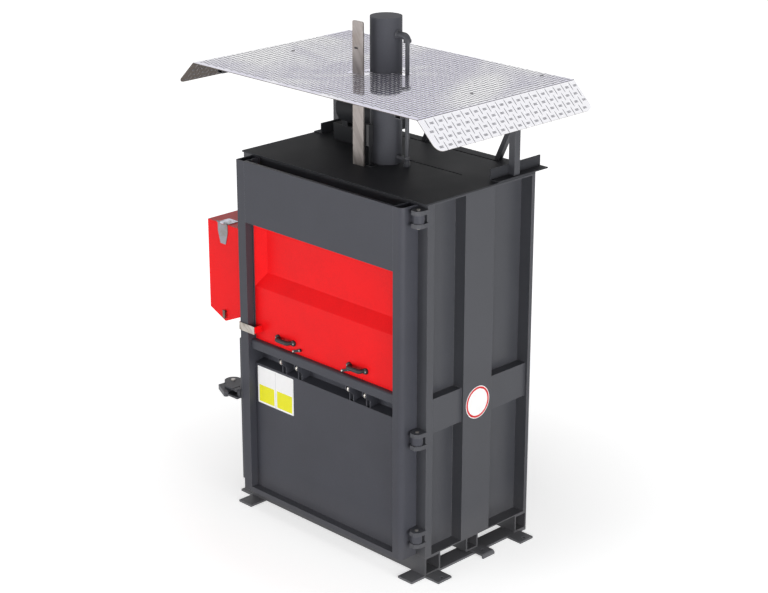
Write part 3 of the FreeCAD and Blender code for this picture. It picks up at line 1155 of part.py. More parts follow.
def latch_bracket():
    """Two fixed plates on the corner of the body, round at the outer end, that carry the claw's pin."""
    side = BOX_RIGHT
    reach = f"({CATCH_X} - catch_pin * 0.65 - latch_clear)"
    front = f"({CATCH_Y} - catch_lug * 0.4)"
    loop = [(side, f"{FRONT} + post_depth"), (side, f"{FRONT} - 7"), (reach, f"{FRONT} - 7"), (reach, front),
            (f"{CLAW_X} + claw_round * 0.4", front), (CLAW_X, f"{CLAW_Y} - claw_round"), (CLAW_X, f"{CLAW_Y} + claw_round"),
            (f"{side} - claw_out * 0.4", f"{FRONT} + post_depth")]
    plates = []
    for end, span in (("low", (CLAW_LOW, f"{CLAW_LOW} + claw_plate")), ("high", (f"{CLAW_HIGH} - claw_plate", CLAW_HIGH))):
        flat = padded("latch_flat_" + end, "XY", loop, span)
        nose = rod("latch_nose_" + end, "z", (CLAW_X, CLAW_Y), "claw_round * 2", span)
        bore = rod("latch_bore_" + end, "z", (CLAW_X, CLAW_Y), "claw_pin", (f"{CLAW_LOW} - 1", f"{CLAW_HIGH} + 1"))
        plates.append(without("latch_plate_" + end, joined("latch_whole_" + end, [flat, nose]), [bore]))
    return grouped("latch_bracket", plates)


def latch_pin():
    """The claw's pivot pin."""
    return rod("latch_pin", "z", (CLAW_X, CLAW_Y), "claw_pin", (f"{CLAW_LOW} - 6", f"{CLAW_HIGH} + 6"))


def latch_claw():
    """The jaw between the two plates, swung back from the catch pin so that the door is free."""
    pin_x, pin_y = f"({CATCH_X} - {CLAW_X})", f"({CATCH_Y} - {CLAW_Y})"
    inner = f"({pin_y} - catch_pin / 2 - claw_gap)"
    outer = f"({inner} - claw_arm)"
    tip = f"({pin_x} + catch_pin * 0.6)"
    hub = "claw_hub / 2"
    heel = f"({pin_x} - catch_pin * 0.8)"
    arm_loop = [(f"0 - {hub} * 0.8", f"0 - {hub} * 0.6"), ("0", outer), (heel, outer), (heel, inner),
                (f"{hub} * 0.9", f"0 - {hub} * 0.4"), (f"{hub} * 0.6", f"{hub} * 0.7")]
    jaw_loop = [(heel, outer), (f"{tip} - 8", outer), (tip, f"{outer} + 8"), (tip, inner), (heel, inner)]
    span = (f"{CLAW_LOW} + claw_plate + claw_play", f"{CLAW_HIGH} - claw_plate - claw_play")
    boss = rod("claw_boss", "z", ("0", "0"), "claw_hub", span)
    bore = rod("claw_bore", "z", ("0", "0"), "claw_pin + slide_fit * 2", (CLAW_LOW, CLAW_HIGH))
    arm = without("claw_arm_drilled", joined("claw_whole", [padded("claw_arm_plate", "XY", arm_loop, span), boss]), [bore])
    claw = grouped("latch_claw", [arm, padded("claw_jaw", "XY", jaw_loop, span)])
    turn = FreeCAD.Rotation(FreeCAD.Vector(0, 0, 1), -value("claw_open"))
    claw.Placement = FreeCAD.Placement(FreeCAD.Vector(), turn)
    claw.setExpression("Placement.Base.x", bound(CLAW_X))
    claw.setExpression("Placement.Base.y", bound(CLAW_Y))
    return claw


# ---- control box ---------------------------------------------------------------------------------------

def box_outline(inset):
    """The five-cornered outline of the control box, drawn in by a distance."""
    low, point = "(foot_thick + box_side_low)", "(foot_thick + box_point_low)"
    return [(f"{BOX_LEFT} + {inset}", f"{BOX_TOP} - {inset}"), (f"{BOX_LEFT} + {inset}", f"{low} + {inset} * 0.7"),
            (BOX_MID, f"{point} + {inset} * 1.09"), (f"{BOX_RIGHT} - {inset}", f"{low} + {inset} * 0.7"),
            (f"{BOX_RIGHT} - {inset}", f"{BOX_TOP} - {inset}")]


def control_box():
    """The red box on the left side with a pointed bottom and an open, rimmed front."""
    shell = padded("box_shell", "XZ", box_outline("0"), (BOX_FRONT, BOX_BACK))
    space = padded("box_space", "XZ", box_outline("box_sheet"), (f"{BOX_FRONT} + box_sheet", f"{BOX_BACK} - box_sheet"))
    mouth = padded("box_mouth", "XZ", box_outline("box_lip"), (f"{BOX_FRONT} - 1", f"{BOX_FRONT} + box_sheet * 2"))
    return without("control_box", shell, [space, mouth])


PLATE_Y = f"({BOX_FRONT} + control_plate_back)"
PLATE_MID = f"({BOX_TOP} - control_plate_high / 2 - 60)"


def control_plate():
    """The button plate across the inside of the box with the contact blocks behind it."""
    x = (f"{BOX_LEFT} + box_sheet", f"{BOX_RIGHT} - box_sheet")
    plate = block("plate_sheet", x, (PLATE_Y, f"{PLATE_Y} + 3"), (f"{PLATE_MID} - control_plate_high / 2", f"{PLATE_MID} + control_plate_high / 2"))
    parts = [plate]
    holes = []
    for name, sign in (("start", "+"), ("stop", "-")):
        z = f"({PLATE_MID} {sign} button_apart / 2)"
        parts.append(block("contact_" + name, (f"{BOX_MID} - 16", f"{BOX_MID} + 16"), (f"{PLATE_Y} + 3", f"{PLATE_Y} + 45"), (f"{z} - 20", f"{z} + 20")))
        wide = "(button_stem / 2 + slide_fit)"
        holes.append(block("button_hole_" + name, (f"{BOX_MID} - {wide}", f"{BOX_MID} + {wide}"),
                           (f"{PLATE_Y} - 1", f"{PLATE_Y} + 30"), (f"{z} - {wide}", f"{z} + {wide}")))
    return without("control_plate", joined("plate_whole", parts), holes)


def button(name, sign):
    """A push button: wide round head and a square stem that slides in the plate."""
    z = f"({PLATE_MID} {sign} button_apart / 2)"
    head = rod(name + "_head", "y", (BOX_MID, z), "button_wide", (f"{PLATE_Y} - button_press - button_out", f"{PLATE_Y} - button_press - 0.5"))
    stem = block(name + "_stem", (f"{BOX_MID} - button_stem / 2", f"{BOX_MID} + button_stem / 2"),
                 (f"{PLATE_Y} - button_press - 0.5", f"{PLATE_Y} + 20"), (f"{z} - button_stem / 2", f"{z} + button_stem / 2"))
    return joined(name, [head, stem])


BARREL_Y = f"({LID_FRONT} - leaf_thick - 1)"
BARREL_Z = f"({BOX_TOP} + leaf_thick + 2)"


def control_lid():
    """The plain front cover of the control box."""
    lid = padded("lid_sheet", "XZ", box_outline("0"), (LID_FRONT, LID_BACK))
    hole = rod("lid_hole", "y", (BOX_MID, "foot_thick + box_point_low + lock_up"), "lock_wide + slide_fit * 2",
               (f"{LID_FRONT} - 1", f"{LID_BACK} + 1"))
    return without("control_lid", lid, [hole])


def lid_hinge_fixed():
    """The hinge leaf on the box top with the middle knuckle and the pin."""
    x = (f"{BOX_MID} - leaf_wide / 2", f"{BOX_MID} + leaf_wide / 2")
    third = "leaf_wide / 6"
    leaf = block("leaf_top", x, (f"{BOX_FRONT}", f"{BOX_FRONT} + leaf_back"), (BOX_TOP, f"{BOX_TOP} + leaf_thick"))
    link = block("leaf_link", (f"{BOX_MID} - {third}", f"{BOX_MID} + {third}"), (BARREL_Y, f"{BOX_FRONT} + 1"), (f"{BARREL_Z} - 4", f"{BARREL_Z} - 2"))
    knuckle = rod("leaf_knuckle", "x", (BARREL_Y, BARREL_Z), "barrel", (f"{BOX_MID} - {third}", f"{BOX_MID} + {third}"))
    pin = rod("leaf_pin", "x", (BARREL_Y, BARREL_Z), "barrel_pin", x)
    return joined("lid_hinge_fixed", [leaf, link, knuckle, pin])


def lid_hinge_moving():
    """The tapering hinge leaf on the lid with the two outer knuckles."""
    left, right = f"({BOX_MID} - leaf_wide / 2)", f"({BOX_MID} + leaf_wide / 2)"
    high = f"({BARREL_Z} - 2)"
    low = f"({BOX_TOP} - leaf_down)"
    middle = f"({BOX_TOP} - leaf_down * 0.4)"
    tail = "leaf_tail / 2"
    loop = [(left, high), (left, middle), (f"{BOX_MID} - {tail}", low), (f"{BOX_MID} + {tail}", low), (right, middle), (right, high)]
    leaf = padded("leaf_front", "XZ", loop, (f"{LID_FRONT} - leaf_thick", LID_FRONT))
    third = "(leaf_wide / 6 + 0.3)"
    gap = block("leaf_gap", (f"{BOX_MID} - {third}", f"{BOX_MID} + {third}"), (f"{LID_FRONT} - leaf_thick - 1", f"{LID_FRONT} + 1"),
                (f"{BOX_TOP} - 4", f"{high} + 1"))
    knuckles = [rod("lid_knuckle_left", "x", (BARREL_Y, BARREL_Z), "barrel", (left, f"{BOX_MID} - {third}")),
                rod("lid_knuckle_right", "x", (BARREL_Y, BARREL_Z), "barrel", (f"{BOX_MID} + {third}", right))]
    whole = joined("leaf_whole", [without("leaf_notched", leaf, [gap])] + knuckles)
    bore = rod("leaf_bore", "x", (BARREL_Y, BARREL_Z), "barrel_pin + slide_fit * 2", (f"{left} - 1", f"{right} + 1"))
    return without("lid_hinge_moving", whole, [bore])


def lid_lock():
    """The turning lock at the foot of the lid."""
    z = "(foot_thick + box_point_low + lock_up)"
    barrel = rod("lock_barrel", "y", (BOX_MID, z), "lock_wide", (f"{LID_FRONT} - 8", f"{LID_BACK} + 6"))
    bar = block("lock_bar", (f"{BOX_MID} - lock_wide / 2", f"{BOX_MID} + lock_wide / 2"), (f"{LID_FRONT} - 14", f"{LID_FRONT} - 8"),
                (f"{z} - lock_handle + lock_wide", f"{z} + lock_wide / 2"))
    return joined("lid_lock", [barrel, bar])


# ---- the whole machine -----------------------------------------------------------------------------------

right_panel = side_panel()
NODES = [
    base_runners(), corner_feet(), middle_feet(), base_tubes(), floor_plate(), right_panel,
    mirrored("side_panel_left", right_panel), grouped("front_frame", [front_posts(), front_lintel()]),
    side_stiffeners(), side_belts(), grouped("rear_uprights", [rear_posts(), rear_stiffeners()]), rear_panel(),
    top_plate(), grouped("strap_reel_bar", [strap_rod(), strap_rod_brackets()]), cylinder_tube(),
    grouped("cylinder_mount", [cylinder_gland(), cylinder_flange()]),
    grouped("pressure_line", [pressure_elbow(), pressure_pipe(), pipe_clamp()]), limit_switch(),
    power_pack_tank(), power_pack_motor(), power_pack_pump(), top_angles(), roof_posts(), roof_rails(), roof_braces(),
    roof_sheet(), roof_bolts(), hinge_brackets(), grouped("pivot_pins", [hinge_pins(), latch_pin()]), latch_bracket(),
    control_box(), control_plate(), lid_hinge_fixed(), door_stile_left(), door_stile_right(), door_header(),
    lower_panel(), bottom_rail(), sill_bar(), strap_guides(), strap_rollers(), gate_guides(),
    grouped("latch_keeper", [door_keeper()] + latch_catch()), door_knuckles(), gate_panel(),
    gate_band(), gate_handles(), lever("lever_left", "lever_1"), lever("lever_right", "lever_2"), platen(),
    piston_rod(), position_strap(), latch_claw(), control_lid(), lid_hinge_moving(), lid_lock(),
    button("start_button", "+"), button("stop_button", "-"),
]
doc.recompute()

for item in doc.Objects:
    if "Invalid" in item.State or "Error" in item.State:
        raise RuntimeError("not built: " + item.Label)
for node in NODES:
    if node.Shape.isNull() or not node.Shape.isValid():
        raise RuntimeError("bad shape: " + node.Label)
    if not node.Shape.Solids:
        raise RuntimeError("no solid: " + node.Label)

os.makedirs("parts", exist_ok=True)
for node in NODES:
    node.Shape.exportStep(os.path.join("parts", node.Label + ".step"))
print(len(NODES), "nodes,", sum(len(node.Shape.Solids) for node in NODES), "solids")
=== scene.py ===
import math

import bmesh
import bpy
from mathutils import Matrix, Vector


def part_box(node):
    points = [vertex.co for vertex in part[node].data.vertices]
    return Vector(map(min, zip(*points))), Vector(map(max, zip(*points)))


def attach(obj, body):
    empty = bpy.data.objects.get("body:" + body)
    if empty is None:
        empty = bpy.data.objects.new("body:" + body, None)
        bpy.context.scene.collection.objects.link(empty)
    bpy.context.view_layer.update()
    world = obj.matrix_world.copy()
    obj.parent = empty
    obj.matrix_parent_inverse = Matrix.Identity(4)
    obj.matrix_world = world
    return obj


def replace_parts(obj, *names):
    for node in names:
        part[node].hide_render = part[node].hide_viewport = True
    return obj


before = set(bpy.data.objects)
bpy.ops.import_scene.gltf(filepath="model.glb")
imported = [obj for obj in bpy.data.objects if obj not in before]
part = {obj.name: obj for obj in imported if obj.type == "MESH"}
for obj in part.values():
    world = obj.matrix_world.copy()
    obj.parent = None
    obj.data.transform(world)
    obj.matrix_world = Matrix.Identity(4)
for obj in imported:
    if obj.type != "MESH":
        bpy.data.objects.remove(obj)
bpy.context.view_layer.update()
bpy.context.scene.view_settings.view_transform = "Standard"


# ---------------------------------------------------------------------------
# The studio: a pale seamless floor in white surroundings, lit by soft boxes at
# the front left, the right, the near corner and overhead.  A dimmer band lies
# between wall and ceiling, for the bright roof to mirror.
# ---------------------------------------------------------------------------
def linear(code):
    """A written sRGB colour as the linear colour that a shader takes."""
    parts = [int(code[i:i + 2], 16) / 255 for i in (1, 3, 5)]
    return tuple(c / 12.92 if c <= 0.04045 else ((c + 0.055) / 1.055) ** 2.4 for c in parts) + (1.0,)


def add(tree, kind, inputs=None, **settings):
    """Adds a node: inputs links or sets its sockets, settings its properties and its named input values.

    A node given as an input stands for its first output.
    """
    node = tree.nodes.new(kind)
    for name, what in settings.items():
        if hasattr(node, name):
            setattr(node, name, what)
        else:
            node.inputs[name.replace("_", " ")].default_value = what
    for name, source in (inputs or {}).items():
        if isinstance(source, bpy.types.Node):
            source = source.outputs[0]
        if isinstance(source, bpy.types.NodeSocket):
            tree.links.new(source, node.inputs[name])
        else:
            node.inputs[name].default_value = source
    return node


def fresh_material(name):
    """An empty material and its node tree."""
    material = bpy.data.materials.new(name)
    material.use_nodes = True
    material.node_tree.nodes.clear()
    return material, material.node_tree


def seen_directly(tree):
    """1 for rays from the eye, from glossy metal and through glass, else 0."""
    path = add(tree, "ShaderNodeLightPath")
    first = add(tree, "ShaderNodeMath", {0: path.outputs["Is Camera Ray"],
                                         1: path.outputs["Is Glossy Ray"]}, operation="MAXIMUM")
    return add(tree, "ShaderNodeMath", {0: first, 1: path.outputs["Is Transmission Ray"]},
               operation="MAXIMUM")


WHITE = (1, 1, 1, 1)
BLACK = (0, 0, 0, 1)
FLOOR_REACH = 14.0
# The floor's glow rises to white between these distances, so the shadow round the feet stays.
GLOW_FROM, GLOW_TO = 0.9, 3.2
corners = [(x * FLOOR_REACH, y * FLOOR_REACH, 0) for x, y in ((-1, -1), (1, -1), (1, 1), (-1, 1))]
floor_mesh = bpy.data.meshes.new("studio_floor")
floor_mesh.from_pydata(corners, [], [(0, 1, 2, 3)])
floor = bpy.data.objects.new("studio_floor", floor_mesh)
bpy.context.scene.collection.objects.link(floor)
floor_paint, tree = fresh_material("studio floor")
plain = add(tree, "ShaderNodeBsdfDiffuse", Color=linear("#E6E6E6"))
spot = add(tree, "ShaderNodeTexCoord").outputs["Object"]
reach = add(tree, "ShaderNodeVectorMath", {0: spot}, operation="LENGTH")
rise = add(tree, "ShaderNodeMapRange", {"Value": reach.outputs["Value"]}, From_Min=GLOW_FROM,
           From_Max=GLOW_TO, To_Min=0.62, To_Max=1.0)
glow = add(tree, "ShaderNodeEmission", {"Strength": rise}, Color=WHITE)
lit = add(tree, "ShaderNodeAddShader", {0: plain, 1: glow})
either = add(tree, "ShaderNodeMixShader", {0: seen_directly(tree), 1: plain, 2: lit})
add(tree, "ShaderNodeOutputMaterial", {"Surface": either})
floor_mesh.materials.append(floor_paint)

world = bpy.data.worlds.new("studio")
bpy.context.scene.world = world
world.use_nodes = True
tree = world.node_tree
tree.nodes.clear()
room = add(tree, "ShaderNodeBackground", Color=WHITE, Strength=0.15)
height = add(tree, "ShaderNodeSeparateXYZ", {0: add(tree, "ShaderNodeTexCoord").outputs["Generated"]})
band = add(tree, "ShaderNodeValToRGB", {0: height.outputs["Z"]})
BAND_LOW, BAND_MIDDLE, BAND_HIGH = 0.45, 0.68, 0.95
for element, level in zip(band.color_ramp.elements, (BAND_LOW, BAND_HIGH)):
    element.position = level
    element.color = WHITE
band.color_ramp.elements.new(BAND_MIDDLE).color = (0.90, 0.895, 0.94, 1)
backdrop = add(tree, "ShaderNodeBackground", {"Color": band}, Strength=1.0)
either = add(tree, "ShaderNodeMixShader", {0: seen_directly(tree), 1: room, 2: backdrop})
add(tree, "ShaderNodeOutputWorld", {"Surface": either})


def soft_box(name, place, target, wide, high, watts):
    """A rectangular area lamp that faces its target."""
    lamp = bpy.data.lights.new(name, "AREA")
    lamp.shape = "RECTANGLE"
    lamp.size, lamp.size_y, lamp.energy = wide, high, watts
    holder = bpy.data.objects.new(name, lamp)
    holder.location = place
    holder.rotation_euler = (Vector(target) - Vector(place)).to_track_quat("-Z", "Y").to_euler()
    bpy.context.scene.collection.objects.link(holder)


soft_box("key_light", (-3.4, -8.0, 1.7), (0, 0, 1.3), 5.0, 3.2, 270)
soft_box("fill_light", (8.0, -1.4, 1.6), (0, 0, 1.3), 4.6, 3.2, 330)
soft_box("corner_light", (6.3, -6.6, 1.8), (0, 0, 1.2), 3.2, 3.0, 215)
soft_box("top_light", (0.5, -1.0, 7.0), (0, 0, 0), 4.0, 4.0, 60)

# The camera stands off the front right corner, above the roof, and looks down on it.
EYE_PLACE, EYE_DOWN, EYE_ROUND = (6.825, -6.749, 4.789), 20.12, 45.30
eye = bpy.data.cameras.new("eye")
eye.sensor_width = 36.0
eye.lens = 90.85
eye_holder = bpy.data.objects.new("eye", eye)
eye_holder.location = EYE_PLACE
eye_holder.rotation_euler = (math.radians(90 - EYE_DOWN), 0, math.radians(EYE_ROUND))
bpy.context.scene.collection.objects.link(eye_holder)
bpy.context.scene.camera = eye_holder


# ---------------------------------------------------------------------------
# The welded base: flat runners under three square tubes, with bolt-down feet,
# the middle pair rolled down at their ends.  All are mild steel in dark grey
# enamel, sprayed on, so the gloss is satin and waves a little (orange peel).
# ---------------------------------------------------------------------------
def finish_nodes(names, material):
    """Gives CAD parts their finish."""
    for name in names:
        for slot in part[name].material_slots:
            slot.material = material


# The spread of the enamel's clouds, of the grit in it, and of the dust that settles low down.
CLOUD_MM, GRIT_MM, DUST_MM = 454.5455, 6.25, 71.42857
DUST_TOP = 0.30


def machine_enamel(name, colour, roughness=0.42, dust=0.25, peel_mm=6.0, edge_mm=1.6, rub=0.30, shine=0.30):
    """Sprayed enamel on steel: waving gloss, cloudy tone, rounded and rubbed edges, dust low down."""
    material, tree = fresh_material(name)
    place = add(tree, "ShaderNodeTexCoord").outputs["Object"]
    cloud = add(tree, "ShaderNodeTexNoise", {"Vector": place}, Scale=1000 / CLOUD_MM, Detail=6.0,
                Roughness=0.62)
    tone = add(tree, "ShaderNodeMapRange", {"Value": cloud}, From_Min=0.3, From_Max=0.7, To_Min=0.92,
               To_Max=1.08)
    specks = add(tree, "ShaderNodeTexNoise", {"Vector": place}, Scale=1000 / GRIT_MM, Detail=2.0)
    grit = add(tree, "ShaderNodeMapRange", {"Value": specks}, From_Min=0.35, From_Max=0.65, To_Min=0.97,
               To_Max=1.03)
    shade = add(tree, "ShaderNodeMath", {0: tone, 1: grit}, operation="MULTIPLY")
    tinted = add(tree, "ShaderNodeMix", {"Factor": shade, 6: BLACK, 7: linear(colour)}, data_type="RGBA",
                 clamp_factor=False)
    height = add(tree, "ShaderNodeSeparateXYZ", {0: place})
    low = add(tree, "ShaderNodeMapRange", {"Value": height.outputs["Z"]}, From_Max=DUST_TOP, To_Min=dust,
              To_Max=0.0)
    patches = add(tree, "ShaderNodeTexNoise", {"Vector": place}, Scale=1000 / DUST_MM, Detail=5.0,
                  Roughness=0.7)
    settled = add(tree, "ShaderNodeMath", {0: low, 1: patches}, operation="MULTIPLY")
    dusty = add(tree, "ShaderNodeMix", {"Factor": settled, 6: tinted.outputs[2], 7: linear("#8E8A84")},
                data_type="RGBA")
    # Where the eased edge turns away from the flat face, the paint is thin and rubbed paler.
    eased = add(tree, "ShaderNodeBevel", Radius=edge_mm / 1000)
    flat = add(tree, "ShaderNodeNewGeometry").outputs["Normal"]
    same = add(tree, "ShaderNodeVectorMath", {0: eased, 1: flat}, operation="DOT_PRODUCT")
    edge = add(tree, "ShaderNodeMapRange", {"Value": same.outputs["Value"]}, From_Min=0.999, From_Max=0.86,
               To_Max=rub)
    rubbed = add(tree, "ShaderNodeMix", {"Factor": edge, 6: dusty.outputs[2], 7: linear("#A9A8AC")},
                 data_type="RGBA")
    wave = add(tree, "ShaderNodeTexNoise", {"Vector": place}, Scale=1000 / peel_mm, Detail=1.0)
    gloss = add(tree, "ShaderNodeMapRange", {"Value": cloud}, From_Min=0.3, From_Max=0.7,
                To_Min=roughness - 0.05, To_Max=roughness + 0.07)
    bump = add(tree, "ShaderNodeBump", {"Height": wave, "Normal": eased}, Strength=0.10, Distance=0.0004)
    skin = add(tree, "ShaderNodeBsdfPrincipled", {"Base Color": rubbed.outputs[2], "Roughness": gloss,
                                                  "Normal": bump}, IOR=1.5, Specular_IOR_Level=shine)
    add(tree, "ShaderNodeOutputMaterial", {"Surface": skin})
    return material


body_enamel = machine_enamel("dark grey machine enamel", "#47484D")
finish_nodes(["base_tubes"], body_enamel)
# The feet and runners are duller than the body and painted a little paler: painted light near the floor.
foot_enamel_painted_light = machine_enamel("dark grey foot enamel painted light", "#5B5C61", roughness=0.5)
finish_nodes(["base_runners", "corner_feet", "middle_feet"], foot_enamel_painted_light)

# ---------------------------------------------------------------------------
# The chamber: side sheets between square front posts and shallow rear tubes,
# with flat channels up and across them, a floor, a back sheet and a thick top
# plate.  It is mild steel in the same enamel, flatter on top, and painted
# darker there as painted shade under the roof.
# ---------------------------------------------------------------------------
finish_nodes(["floor_plate", "side_panel_right", "side_panel_left", "front_frame", "side_stiffeners",
              "side_belts", "rear_uprights", "rear_panel", "hinge_brackets", "latch_bracket"], body_enamel)
# The top plate and angles are painted darker than the body: painted shade on the top faces.
top_enamel_painted_shade = machine_enamel("dark grey top enamel painted shade", "#37383C", roughness=0.60, shine=0.16)
finish_nodes(["top_plate", "top_angles"], top_enamel_painted_shade)


# ---------------------------------------------------------------------------
# The fillet welds that hold the side channels and the cylinder flange: short
# overlapping puddles laid in line along each seam, painted over with the rest.
# ---------------------------------------------------------------------------
def piece(name, shape, material, body, smooth_below=35.0):
    """A finished part from an open mesh: named, painted, shaded smooth below an angle, riding on its body."""
    mesh = bpy.data.meshes.new(name)
    bmesh.ops.recalc_face_normals(shape, faces=shape.faces)
    shape.to_mesh(mesh)
    shape.free()
    mesh.polygons.foreach_set("use_smooth", [True] * len(mesh.polygons))
    mesh.set_sharp_from_angle(angle=math.radians(smooth_below))
    mesh.materials.append(material)
    item = bpy.data.objects.new(name, mesh)
    bpy.context.scene.collection.objects.link(item)
    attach(item, body)
    return item


def input_sockets(tree, names):
    """The named inputs of a Geometry Nodes tree, after the mesh that it starts from."""
    tree.interface.new_socket("Mesh", in_out="INPUT", socket_type="NodeSocketGeometry")
    for label, kind in names:
        tree.interface.new_socket(label, in_out="INPUT", socket_type="NodeSocket" + kind)
    tree.interface.new_socket("Mesh", in_out="OUTPUT", socket_type="NodeSocketGeometry")
    return tree.nodes.new("NodeGroupInput").outputs


def grown(name, mesh, tree, values, body):
    """Runs a tree on a start mesh and keeps the plain mesh that comes out."""
    seed = bpy.data.objects.new(name + "_start", mesh)
    bpy.context.scene.collection.objects.link(seed)
    modifier = seed.modifiers.new("repeat", "NODES")
    modifier.node_group = tree
    for socket in tree.interface.items_tree:
        if socket.in_out == "INPUT" and socket.name in values:
            modifier[socket.identifier] = values[socket.name]
    seed.update_tag()
    bpy.context.view_layer.update()
    drawn = seed.evaluated_get(bpy.context.evaluated_depsgraph_get())
    made = bpy.data.meshes.new_from_object(drawn)
    bpy.data.objects.remove(seed)
    made.name = name
    item = bpy.data.objects.new(name, made)
    bpy.context.scene.collection.objects.link(item)
    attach(item, body)
    return item


weld_tree = bpy.data.node_groups.new("weld seam", "GeometryNodeTree")
given = input_sockets(weld_tree, [("Pitch", "Float"), ("Throat", "Float"), ("Seed", "Int"),
                                  ("Finish", "Material")])
line = add(weld_tree, "GeometryNodeMeshToCurve", {"Mesh": given["Mesh"]})
steps = add(weld_tree, "GeometryNodeResampleCurve", {"Curve": line, "Length": given["Pitch"]},
            mode="LENGTH")
puddle = add(weld_tree, "GeometryNodeMeshUVSphere", {"Radius": given["Throat"]}, Segments=8, Rings=5)
size = add(weld_tree, "FunctionNodeRandomValue", {2: 0.82, 3: 1.15, "Seed": given["Seed"]},
           data_type="FLOAT")
laid = add(weld_tree, "GeometryNodeInstanceOnPoints", {"Points": steps, "Instance": puddle,
                                                       "Scale": size.outputs[1]})
real = add(weld_tree, "GeometryNodeRealizeInstances", {"Geometry": laid})
painted = add(weld_tree, "GeometryNodeSetMaterial", {"Geometry": real, "Material": given["Finish"]})
add(weld_tree, "NodeGroupOutput", {"Mesh": painted})

WELD_PITCH, WELD_THROAT, WELD_SEED = 0.0052, 0.0030, 7


def weld(name, seams, body):
    """Beads along straight seams, each a pair of ends."""
    mesh = bpy.data.meshes.new(name + "_seams")
    ends = [point for seam in seams for point in seam]
    mesh.from_pydata(ends, [(i, i + 1) for i in range(0, len(ends), 2)], [])
    values = {"Pitch": WELD_PITCH, "Throat": WELD_THROAT, "Seed": WELD_SEED, "Finish": body_enamel}
    return grown(name, mesh, weld_tree, values, body)


SIDE_SHEET = 0.006
# How far the beads stop short of the channel's ends, of the crossing channel, and of its outer face.
END_STOP, CROSS_STOP, FACE_STOP = 0.012, 0.004, 0.003
channel_low, channel_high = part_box("side_stiffeners")
belt_low, belt_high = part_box("side_belts")
channel_edges, belt_edges = (channel_low.y, channel_high.y), (belt_low.z, belt_high.z)
for side, word in ((1, "right"), (-1, "left")):
    wall = side * (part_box("side_panel_right")[0].x + SIDE_SHEET)
    outer = side * belt_high.x
    seams = [((wall, y, channel_low.z + END_STOP), (wall, y, channel_high.z - END_STOP))
             for y in channel_edges]
    for near, far in ((belt_low.y, channel_low.y), (channel_high.y, belt_high.y)):
        seams += [((wall, near + CROSS_STOP, z), (wall, far - CROSS_STOP, z)) for z in belt_edges]
    seams += [((wall + side * CROSS_STOP, y, z), (outer - side * FACE_STOP, y, z))
              for y in channel_edges for z in belt_edges]
    seams += [((outer, y, belt_low.z), (outer, y, belt_high.z)) for y in channel_edges]
    weld("side_welds_" + word, seams, "body")

# How far the seam, just under the top plate, lies below the top of the whole cylinder mount.
SEAM_DOWN = 0.0105
flange_low, flange_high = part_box("cylinder_mount")
under = flange_high.z - SEAM_DOWN
weld("flange_welds", [((flange_low.x, y, under), (flange_high.x, y, under))
                      for y in (flange_low.y, flange_high.y)], "body")

# ---------------------------------------------------------------------------
# The door: a square tube frame with a sheet header, a sunk lower sheet and a
# keeper flat on its free edge, hung on turned steel pins.  The enamel is a
# touch bluer and duller than the body's.
# ---------------------------------------------------------------------------
door_enamel = machine_enamel("dark grey door enamel", "#46474E", shine=0.16)
finish_nodes(["door_stile_left", "door_stile_right", "door_header", "lower_panel", "bottom_rail",
              "sill_bar", "strap_guides", "gate_guides", "door_knuckles", "strap_reel_bar"], door_enamel)


def bare_steel(name, colour, along, roughness=0.34, stain="#6E655C", scratch_mm=1.6, stain_mm=111.1111):
    """Mill finished steel: long drawn lines, brown-grey stains and fine scratches."""
    material, tree = fresh_material(name)
    place = add(tree, "ShaderNodeTexCoord").outputs["Object"]
    stretch = [1.0, 1.0, 1.0]
    stretch["XYZ".index(along)] = 0.035
    drawn = add(tree, "ShaderNodeMapping", {"Vector": place}, Scale=stretch)
    lines = add(tree, "ShaderNodeTexNoise", {"Vector": drawn}, Scale=1000 / scratch_mm, Detail=3.0)
    cloud = add(tree, "ShaderNodeTexNoise", {"Vector": place}, Scale=1000 / stain_mm, Detail=7.0,
                Roughness=0.66, Distortion=1.4)
    mark = add(tree, "ShaderNodeMapRange", {"Value": cloud}, From_Min=0.44, From_Max=0.66, To_Max=0.8)
    base = add(tree, "ShaderNodeMix", {"Factor": mark, 6: linear(colour), 7: linear(stain)},
               data_type="RGBA")
    line_tone = add(tree, "ShaderNodeMapRange", {"Value": lines}, From_Min=0.3, From_Max=0.7, To_Min=0.9,
                    To_Max=1.06)
    toned = add(tree, "ShaderNodeMix", {"Factor": line_tone, 6: BLACK, 7: base.outputs[2]},
                data_type="RGBA", clamp_factor=False)
    gloss = add(tree, "ShaderNodeMapRange", {"Value": cloud}, From_Min=0.3, From_Max=0.7,
                To_Min=roughness - 0.06, To_Max=roughness + 0.16)
    bump = add(tree, "ShaderNodeBump", {"Height": lines}, Strength=0.12, Distance=0.0003)
    skin = add(tree, "ShaderNodeBsdfPrincipled", {"Base Color": toned.outputs[2], "Roughness": gloss,
                                                  "Normal": bump}, Metallic=0.85)
    add(tree, "ShaderNodeOutputMaterial", {"Surface": skin})
    return material


finish_nodes(["latch_keeper"], machine_enamel("dark grey flat enamel", "#47484D"))
turned_steel = bare_steel("turned steel", "#D8D4CE", "Y")
finish_nodes(["pivot_pins"], turned_steel)


# ---------------------------------------------------------------------------
# The strap rollers under the sill: a narrow sheave of turned bright steel on a
# pin in the mouth of each strap guide.  Thin painted sheets between the guides
# close the pocket behind and below the mouth.
# ---------------------------------------------------------------------------
def turn(shape, outline, centre, axis, sides=32):
    """Adds a turned solid to an open mesh; its outline is (radius, distance along the axis), end to end."""
    along = Vector([float(letter == axis) for letter in "XYZ"])
    across = Vector((0, 0, 1)) if axis != "Z" else Vector((1, 0, 0))
    third = along.cross(across)
    turns = [math.tau * i / sides for i in range(sides)]
    rings = []
    for radius, step in outline:
        middle = Vector(centre) + along * step
        rings.append([shape.verts.new(middle + (across * math.cos(t) + third * math.sin(t)) * radius)
                      for t in turns])
    for first, second in zip(rings, rings[1:]):
        for i in range(sides):
            shape.faces.new((first[i - 1], first[i], second[i], second[i - 1]))
    shape.faces.new(rings[0])
    shape.faces.new(rings[-1])


